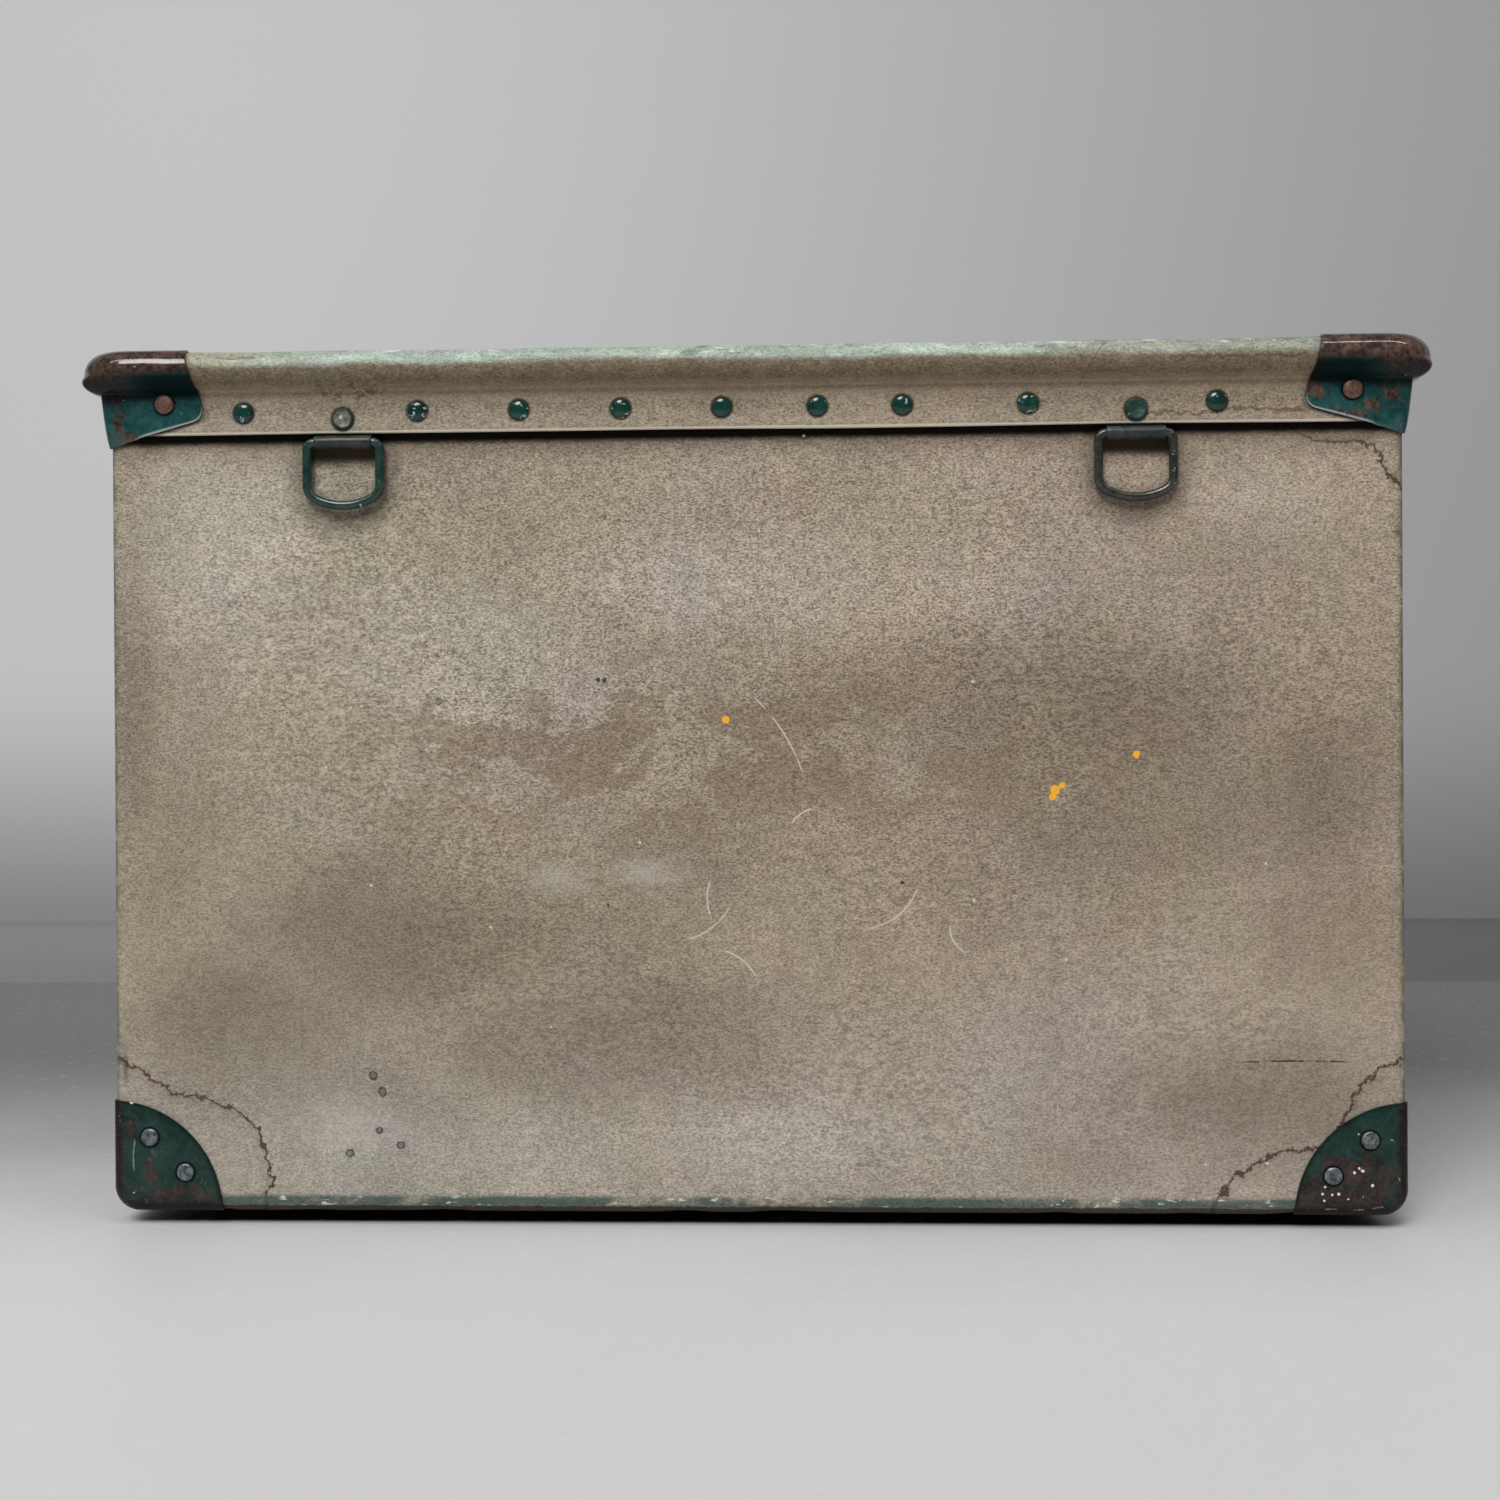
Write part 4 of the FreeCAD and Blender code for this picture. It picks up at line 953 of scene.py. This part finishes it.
def cap_foot(turn, share):
    """Drop of the skirt's lower edge: straight up from the tip, then rounded at the arm's end."""
    s = CORNER_IN + share * (CAP_SKIRT_REACH - CORNER_IN)
    if share == 0:
        s = CORNER_IN - (CORNER_IN + CAP_FACE) * min(sin(turn), cos(turn))
    into = max(0.0, (s - CAP_SKIRT_REACH + CAP_ROUND) / CAP_ROUND)
    return CAP_TIP_DROP - CAP_SLOPE * s - CAP_ROUND * (1 - sqrt(max(0.0, 1 - into * into)))


def cap_point(corner, turn, s, u, drop):
    """Point of a rim cap at s along an arm, or on the quarter turn, squarer below the crease."""
    across, forward = CORNERS[corner]
    square = smooth(drop, 0.5 * CAP_CREASE, CAP_CREASE) * (CAP_TIP_DROP - drop) / (CAP_TIP_DROP - CAP_CREASE)
    power = 2.0 + 3.0 * min(1.0, max(0.0, square))
    side, end = sin(turn), cos(turn)
    radius = (CORNER_IN + u) * (abs(side) ** power + abs(end) ** power) ** (-1 / power)
    x = HALF_W - CORNER_IN + radius * side - (s - CORNER_IN) * end
    y = CORNER_IN - HALF_D - radius * end + (s - CORNER_IN) * side
    dent = 0.3 * (drift(x / 20, y / 20, drop / 20, seed=across + 3 * forward) - 0.9)
    return (across * (x + dent * side), forward * (y - dent * end), CAP_TOP - drop)


def rim_cap(corner, material):
    """Pressed cap over a rim corner: two arms and a quarter turn, with a skirt that ends in a tip."""
    bulge = strip_line(CAP_OUT, 12.0, -CREASE_V)[:-8]
    arm = [1 - (1 - share) ** 1.6 for share in spread(0, 1, 22)]
    stations = [(0.0, share) for share in reversed(arm)]
    stations += [(turn, 0.0) for turn in spread(0, QUARTER, 19)[1:-1]]
    stations += [(QUARTER, share) for share in arm]
    layers = [], [], [], []
    for turn, share in stations:
        cells = []        # point, wear, bare edge painted pale as a highlight, and painted shade
        on_arm = smooth(share, -0.3, 0.5)
        for u, v in bulge:
            drop = CAP_TOP - BEAD_Z - v
            green = on_arm * smooth(drop, 0.45 * CAP_CREASE, 0.80 * CAP_CREASE)
            # Painted shade on the lower bulge, which faces down
            shade_share = (0.62 + 0.33 * on_arm) * smooth(drop, 0.40 * CAP_CREASE, 0.70 * CAP_CREASE)
            cells.append((cap_point(corner, turn, cap_reach(share, drop), u, drop), 1.1 - green, 0.0, shade_share))
        low = cap_foot(turn, share)
        for t in spread(0, 1, 15)[1:]:
            drop = CAP_CREASE + t * (low - CAP_CREASE)
            s = cap_reach(share, drop)
            lean = cap_lean(turn, s) * (drop - CAP_CREASE) / (CAP_TIP_DROP - CAP_CREASE)
            border = max(smooth(t, 0.8, 1.0), smooth(share, 0.9, 1.0))
            # Pale line along the skirt's lower edge: worn bare steel, painted pale as the edge's highlight
            bare = smooth(t, 0.93, 1.0) * smooth(share, 0.0, 0.3)
            # Painted shade on the skirt just below the crease
            cells.append((cap_point(corner, turn, s, CAP_FACE - lean, drop),
                          max(0.40 * border, 0.3 * (1 - share)), bare, 0.9 * smooth(t, 0.30, 0.0)))
        for layer, values in zip(layers, zip(*cells)):
            layer.append(values)
    rows, wear, bare, painted_shade = layers
    skin = Skin(rows, wear=wear, bare=bare, painted_shade=painted_shade)
    piece = make_piece("cap_rim_" + corner, skin, material, ["rim_cap_" + corner],
                       facing=Vector((0, 0, 1)))
    thicken(piece, CAP_STEEL, STEEL_EDGE)


def packed_mesh(node, merge):
    """Editable copy of a CAD node's mesh, in metres, with its doubled points joined."""
    work = bmesh.new()
    work.from_mesh(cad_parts[node].data)
    bmesh.ops.remove_doubles(work, verts=work.verts, dist=merge * MM)
    work.verts.index_update()
    return work


def base_cap(corner, material):
    """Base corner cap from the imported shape, with eased edges."""
    node = "base_cap_" + corner
    work = packed_mesh(node, 0.01)
    skin = Skin()
    skin.points = [vert.co / MM for vert in work.verts]
    skin.faces = [tuple(vert.index for vert in face.verts) for face in work.faces]
    work.free()
    piece = make_piece("cap_" + node, skin, material, [node])
    round_edges(piece, STEEL_EDGE)


# D-rings and clips

def rounded_loop(corners, step):
    """Points round a closed outline of corners (a, b, radius), about a step apart."""
    count = len(corners)
    spans = []
    for i, (a, b, radius) in enumerate(corners):
        here = Vector((a, b))
        before = (Vector(corners[i - 1][:2]) - here).normalized()
        after = (Vector(corners[(i + 1) % count][:2]) - here).normalized()
        half = before.angle(after) / 2
        centre = here + (before + after).normalized() * (radius / sin(half))
        start = here + before * (radius / tan(half)) - centre
        end = here + after * (radius / tan(half)) - centre
        first = atan2(start.y, start.x)
        sweep = (atan2(end.y, end.x) - first + pi) % (2 * pi) - pi
        number = max(2, int(abs(sweep) * radius / step))
        spans.append([Vector(p) for p in arc(centre, radius, first, first + sweep, number + 1)])
    points = []
    for i, span in enumerate(spans):
        points += span
        gap = spans[(i + 1) % count][0] - span[-1]
        number = int(gap.length / step)
        points += [span[-1] + gap * (k / number) for k in range(1, number)]
    return points


def d_ring(name, material):
    """Loop of round wire with the weld that closes it at the bottom."""
    node = "d_ring_" + name
    low, high = box(node)
    wire = (high.y - low.y) / 2
    middle = (low + high) / 2
    facing = copysign(1.0, middle.y)
    bar_z = high.z - wire
    reach = (high.x - low.x) / 2 - wire
    fall = RING_POINT - RING_SHOULDER
    half_point = atan2(reach, fall)
    shoulder = RING_SHOULDER_RADIUS * tan(half_point / 2)
    point_radius = (hypot(reach, fall) - shoulder - RING_FLANK) * tan(half_point)
    loop = rounded_loop([(-reach, 0, RING_CORNER), (reach, 0, RING_CORNER),
                         (reach, -RING_SHOULDER, RING_SHOULDER_RADIUS), (0, -RING_POINT, point_radius),
                         (-reach, -RING_SHOULDER, RING_SHOULDER_RADIUS)], RING_STEP)
    count = len(loop)
    foot = min(loop, key=lambda at: at.y)
    rows, wear = [], []
    for i, at in enumerate(loop):
        ahead = (loop[(i + 1) % count] - loop[i - 1]).normalized()
        aside = Vector((ahead.y, -ahead.x))
        way = (at - foot).length
        weld = exp(-(way / WELD_WIDTH) ** 2) - 0.9 * exp(-(way / WELD_GROOVE) ** 2)
        row = []
        for k in range(WIRE_SEGMENTS):
            a = 2 * pi * k / WIRE_SEGMENTS
            rough = drift(at.x / 6, at.y / 6, a, seed=9 * MM * middle.x)
            radius = wire * (0.97 + 0.05 * weld + 0.012 * rough)
            flat = at + aside * (radius * cos(a))
            row.append((middle.x + flat.x, middle.y + facing * radius * sin(a), bar_z + flat.y))
        rows.append(row)
        wear.append([0.35 * smooth(at.y, -10, -2) + 0.5 * max(0.0, weld)] * WIRE_SEGMENTS)
    skin = Skin(rows + rows[:1], wrap=True, wear=wear + wear[:1])
    make_piece("ring_" + name, skin, material, [node], body="ring_" + name, merge=0.001)


def ring_clip(name, material):
    """Steel strip folded round the ring's bar, both legs up behind the collar."""
    node = "ring_clip_" + name
    low, high = box(node)
    facing = copysign(1.0, low.y)
    near, far = sorted((abs(low.y), abs(high.y)))
    roll = (far - near) / 2
    bar_out = far - roll
    bar_z = low.z + roll
    radius = roll - CLIP_STEEL / 2
    back = bar_out - radius
    front = back + CLIP_STEEL + 0.06
    line = [(back, z) for z in spread(high.z - bar_z, 0, 8)]
    line += arc((bar_out, 0), radius, -pi, CLIP_WRAP, 40)[1:]
    end_u, end_v = line[-1]
    line += [(front + (end_u - front) * (1 - t) ** 2, end_v + CLIP_BRIDGE * t) for t in spread(0, 1, 7)[1:]]
    line += [(front, z) for z in spread(end_v + CLIP_BRIDGE, high.z - bar_z, 7)[1:]]
    stations = spread(low.x + 0.1, high.x - 0.1, 12)
    rows = [[(x, facing * u, bar_z + v + 0.15 * drift(x / 10, v / 10)) for x in stations] for u, v in line]
    piece = make_piece("clip_" + name, Skin(rows), material, [node])
    thicken(piece, CLIP_STEEL, 0.2, offset=0.0, even=False)


# Rivets

def solids_of(node):
    """Lowest and highest corners of each separate solid of a CAD node."""
    work = packed_mesh(node, 0.002)
    seen = set()
    boxes = []
    for vert in work.verts:
        if vert in seen:
            continue
        group, todo = [], [vert]
        seen.add(vert)
        while todo:
            here = todo.pop()
            group.append(here.co)
            others = [link.other_vert(here) for link in here.link_edges]
            fresh = [other for other in others if other not in seen]
            seen.update(fresh)
            todo += fresh
        boxes.append([Vector(limit(p[i] for p in group) for i in range(3)) for limit in (min, max)])
    work.free()
    boxes.sort(key=lambda pair: tuple(round(c, 5) for c in pair[0]))
    return [(low / MM, high / MM) for low, high in boxes]


def head_line(radius, height, dished):
    """Outline (r, z) of a head from its middle to its seat."""
    if dished:
        profile = ((0, 0.6), (0.5, 0.6), (0.64, 0.45), (0.75, 0.05), (0.84, 0), (0.93, 0.15), (1, 0.7))
        line = [(share * radius, height - dip) for share, dip in profile]
    else:
        line = [(radius * sin(a), HEAD_EDGE + (height - HEAD_EDGE) * cos(a))
                for a in spread(0, QUARTER, 9)]
    return line + [(radius, 0.3 * HEAD_EDGE), (radius - 0.25, 0.0), (SHANK_RADIUS, 0.0)]


def rivet_line(radius, height, grip, dished):
    """Outline (r, z) of a whole rivet: head, shank and the tail behind the burr."""
    line = head_line(radius - 0.06, height - 0.12, dished)
    line += [(SHANK_RADIUS, -grip), (TAIL_RADIUS, -grip), (TAIL_RADIUS, -grip - 0.4)]
    line += [(TAIL_RADIUS * cos(a), -grip - 0.4 - (TAIL_HEIGHT - 0.45) * sin(a))
             for a in spread(0, QUARTER, 5)[1:]]
    return line


def rivets(node, material, height, dished=False):
    """Rivets of a CAD node, each set a little differently by hand."""
    skin = Skin()
    draw = random.Random(node)
    for low, high in solids_of(node):
        size = high - low
        axis = max(range(3), key=lambda i: min(abs(size[i] - size[j]) for j in range(3) if j != i))
        middle = (low + high) / 2
        out = Vector((0, 0, 0))
        out[axis] = -1.0 if axis == 2 else copysign(1.0, middle[axis])
        seat = middle + out * (size[axis] / 2 - height)
        radius = min(size[i] for i in range(3) if i != axis) / 2
        basis = out.to_track_quat("Z", "Y").to_matrix()
        lean = Matrix.Rotation(radians(draw.uniform(-HEAD_LEAN, HEAD_LEAN)), 3, "X")
        spin = draw.uniform(0, 2 * pi)
        seed = draw.uniform(0, 50)
        worn = draw.uniform(0.0, 0.5)
        rubbed = 0.6 + worn if middle.x < 0 else 0.5
        rows, wear = [], []
        for r, z in rivet_line(radius, height, size[axis] - height - TAIL_HEIGHT, dished):
            row = []
            for k in range(HEAD_SEGMENTS):
                a = spin + 2 * pi * k / HEAD_SEGMENTS
                dent = 0.10 * drift(r * cos(a) / 2, r * sin(a) / 2, seed=seed)
                wide = r * (1 - 0.012 * (1 + cos(2 * a + seed)))
                spot = Vector((wide * cos(a), wide * sin(a), z - abs(dent) if z > 0.5 else z))
                row.append(seat + basis @ (lean @ spot if z > 0 else spot))
            rows.append(row)
            rub = rubbed * smooth(r, 0.95 * radius, 0.75 * radius) if dished else worn
            wear.append([rub] * HEAD_SEGMENTS)
        skin.patch(rows, wrap=True, wear=wear)
    make_piece("set_" + node, skin, material, [node], merge=0.0005)


# Stage, light and camera

CAMERA_PLACE = Vector((50.8, -1437.9, 289.1)) * MM
CAMERA_YAW = radians(2.449)
CAMERA_PITCH = radians(-0.244)
CAMERA_ROLL = radians(0.333)
FOCAL_PIXELS = 2000.0
IMAGE_SIDE = 1500.0
SENSOR = 36.0
STAGE_SIDE = 4000
STAGE_FRONT = -3500
STAGE_TOP = 3000
FLOOR_LINE = 955         # where the pale floor ends
WALL_BEHIND = 1800       # clear of views from behind
SHADE_SPAN = (-1100, 1610)        # the wall and the far floor darken to the right over these places
KEY_HEADING = Vector((0.22, 0.80, -0.88))
KEY_LIGHT = 2.06
KEY_SPREAD = 26.0
ROOM_LIGHT = 0.115
WINDOW_PLACE = Vector((100, -1200, 2500)) * MM
WINDOW_SIZE = Vector((4600, 120)) * MM
WINDOW_LIGHT = 27.0


def floor_finish():
    """Pale floor, with painted shade darker behind the box and a painted shadow under it."""
    f = Finish("stage_floor")
    cloud = f.noise(300, 4.0, 0.55, 0.4)
    fine = f.noise(6, 4.0, 0.7, shift=2.0)
    # Painted shade: the floor darkens towards the back
    near = f.rise(f.add(f.y, f.times(cloud, 300)), 620, -HALF_D - 100)
    f.base = f.mix(near, (104, 104, 104), (220, 220, 221))
    # Painted shadow under the box
    f.lay((14, 14, 14), f.rise(f.off(f.x), HALF_W - 8, HALF_W - 20),
          f.rise(f.off(f.y), HALF_D - 9, HALF_D - 16))
    f.lay((240, 240, 240), f.rise(fine, 0.55, 0.65), 0.12)
    # Painted shade on the far floor: darker to the right and towards the wall
    far = f.mix(f.rise(f.x, *SHADE_SPAN), (137, 137, 137), (95, 95, 95))
    far = f.mix(f.times(f.rise(f.y, WALL_BEHIND - 100, FLOOR_LINE), 0.26), far, (10, 10, 10))
    f.lay(far, f.rise(f.y, FLOOR_LINE, FLOOR_LINE + 20))
    return f.finish(f.range(fine, 0.45, 0.6), fine, 0.1)


def wall_finish():
    f = Finish("stage_wall")
    # Painted light and shade: lighter towards the top, darker to the right
    f.base = f.mix(f.rise(f.z, -60, 440), (146, 146, 146), (222, 222, 222))
    f.lay((96, 96, 96), f.rise(f.x, *SHADE_SPAN), 0.55)
    return f.finish(f.range(f.noise(40), 0.75, 0.85))


def stage():
    below = -0.2
    front, back = [[(x, y, below) for x in (-STAGE_SIDE, STAGE_SIDE)] for y in (STAGE_FRONT, WALL_BEHIND)]
    top = [(x, WALL_BEHIND, STAGE_TOP) for x in (-STAGE_SIDE, STAGE_SIDE)]
    for name, near, far, material in (("floor", front, back, floor_finish()),
                                      ("backdrop", back, top, wall_finish())):
        mesh = make_mesh(name, near + far[::-1], [(0, 1, 2, 3)], material)
        add_object(name, mesh)


def add_light(name, kind, power, heading):
    lamp = bpy.data.lights.new(name, kind)
    lamp.energy = power
    light = add_object(name, lamp)
    light.rotation_euler = heading.to_track_quat("-Z", "Y").to_euler()
    return light


def lights():
    world = bpy.data.worlds.new("soft_room")
    world.use_nodes = True
    room = world.node_tree.nodes["Background"].inputs
    room[0].default_value = (1.0, 1.0, 1.0, 1.0)
    room[1].default_value = ROOM_LIGHT
    bpy.context.scene.world = world
    overhead = add_light("overhead", "SUN", KEY_LIGHT, KEY_HEADING)
    overhead.data.angle = radians(KEY_SPREAD)
    target = Vector((0.0, -HALF_D, 0.9 * RIM_TOP)) * MM
    window = add_light("window", "AREA", WINDOW_LIGHT, target - WINDOW_PLACE)
    window.location = WINDOW_PLACE
    window.data.shape = "RECTANGLE"
    window.data.size, window.data.size_y = WINDOW_SIZE


def camera():
    """Camera of the photograph: looks along +Y, then turned to the left, tipped up and rolled."""
    lens = bpy.data.cameras.new("camera")
    lens.sensor_width = SENSOR
    lens.lens = SENSOR * FOCAL_PIXELS / IMAGE_SIDE
    eye = add_object("camera", lens)
    turn = Matrix.Rotation(CAMERA_YAW, 4, "Z") @ Matrix.Rotation(QUARTER + CAMERA_PITCH, 4, "X")
    turn = turn @ Matrix.Rotation(-CAMERA_ROLL, 4, "Z")
    eye.matrix_world = Matrix.Translation(CAMERA_PLACE) @ turn
    bpy.context.scene.camera = eye


def dress(node, material):
    """Gives a CAD node that stays in view its material."""
    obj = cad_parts[node]
    obj.data.materials.clear()
    obj.data.materials.append(material)


def build():
    sheet = sheet_finish()
    strip = strip_finish()
    enamel = enamel_finish("cap_enamel", (12, 57, 56), (42, 88, 86), 0.06, 0.075, chip_level=0.75, soft=0.13,
                           relief=0.07, patches=CAP_PATCHES, heads=("rim_cap_rivets",))
    base_enamel = enamel_finish("base_cap_enamel", (12, 37, 33), (33, 60, 54), 0.06, 0.30, shine=0.25,
                                under=((30, 24, 22), (68, 54, 49)), chip_level=0.74, soft=0.16,
                                patches=BASE_PATCHES, specks=BASE_SPECKS_AND_GLINT, lines=BASE_SCRATCHES,
                                heads=("base_cap_rivets",), borders=True)
    head_enamel = enamel_finish("rivet_enamel", (6, 40, 36), (20, 70, 61), -0.2, 0.13, 0.14, relief=0.06)
    worn_head = enamel_finish("clip_rivet_enamel", (16, 44, 38), (52, 78, 69), 0.06, 0.42, shine=0.15,
                              under=((80, 74, 66), (138, 130, 120)))
    green_ring = enamel_finish("ring_enamel", (16, 42, 38), (40, 68, 61), -0.16, 0.18)
    grey_ring = enamel_finish("ring_worn", (28, 32, 29), (62, 62, 57), -0.12, 0.17)
    clip_steel = enamel_finish("clip_worn", (22, 34, 31), (60, 64, 61), 0.06, 0.34, chip_level=0.78,
                               shine=0.3)
    copper = steel_finish("rusty_rivet", (82, 58, 48), (122, 90, 77), 0.1, 0.2)
    bare = steel_finish("bare_steel", (60, 66, 68), (128, 135, 137), -0.03, 0.6)
    wood = wood_finish()

    body_sheet(sheet)
    end_panel("right", 1, sheet)
    end_panel("left", -1, sheet)
    for side in SIDES:
        collar(side, strip)
        dress("rim_core_" + side, wood)
        rivets("collar_rivets_" + side, head_enamel, 2.6)
        dress("collar_burrs_" + side, bare)
    for corner in CORNERS:
        rim_cap(corner, enamel)
        base_cap(corner, base_enamel)
    for name in ("front_left", "front_right", "back_left", "back_right"):
        d_ring(name, green_ring if name.endswith("left") else grey_ring)
        ring_clip(name, clip_steel)
    rivets("clip_rivets", worn_head, 2.2, dished=True)
    dress("clip_burrs", bare)
    rivets("rim_cap_rivets", copper, 2.0)
    rivets("base_cap_rivets", bare, 1.9)
    for name in ("left", "right"):
        rivets("seam_rivets_" + name, head_enamel, 2.2)
        dress("seam_burrs_" + name, bare)
    for name in ("front", "back"):
        dress("base_runner_" + name, wood)
    dress("runner_screws", bare)
    stage()
    lights()
    camera()
    bpy.context.scene.view_settings.view_transform = "Standard"


build()
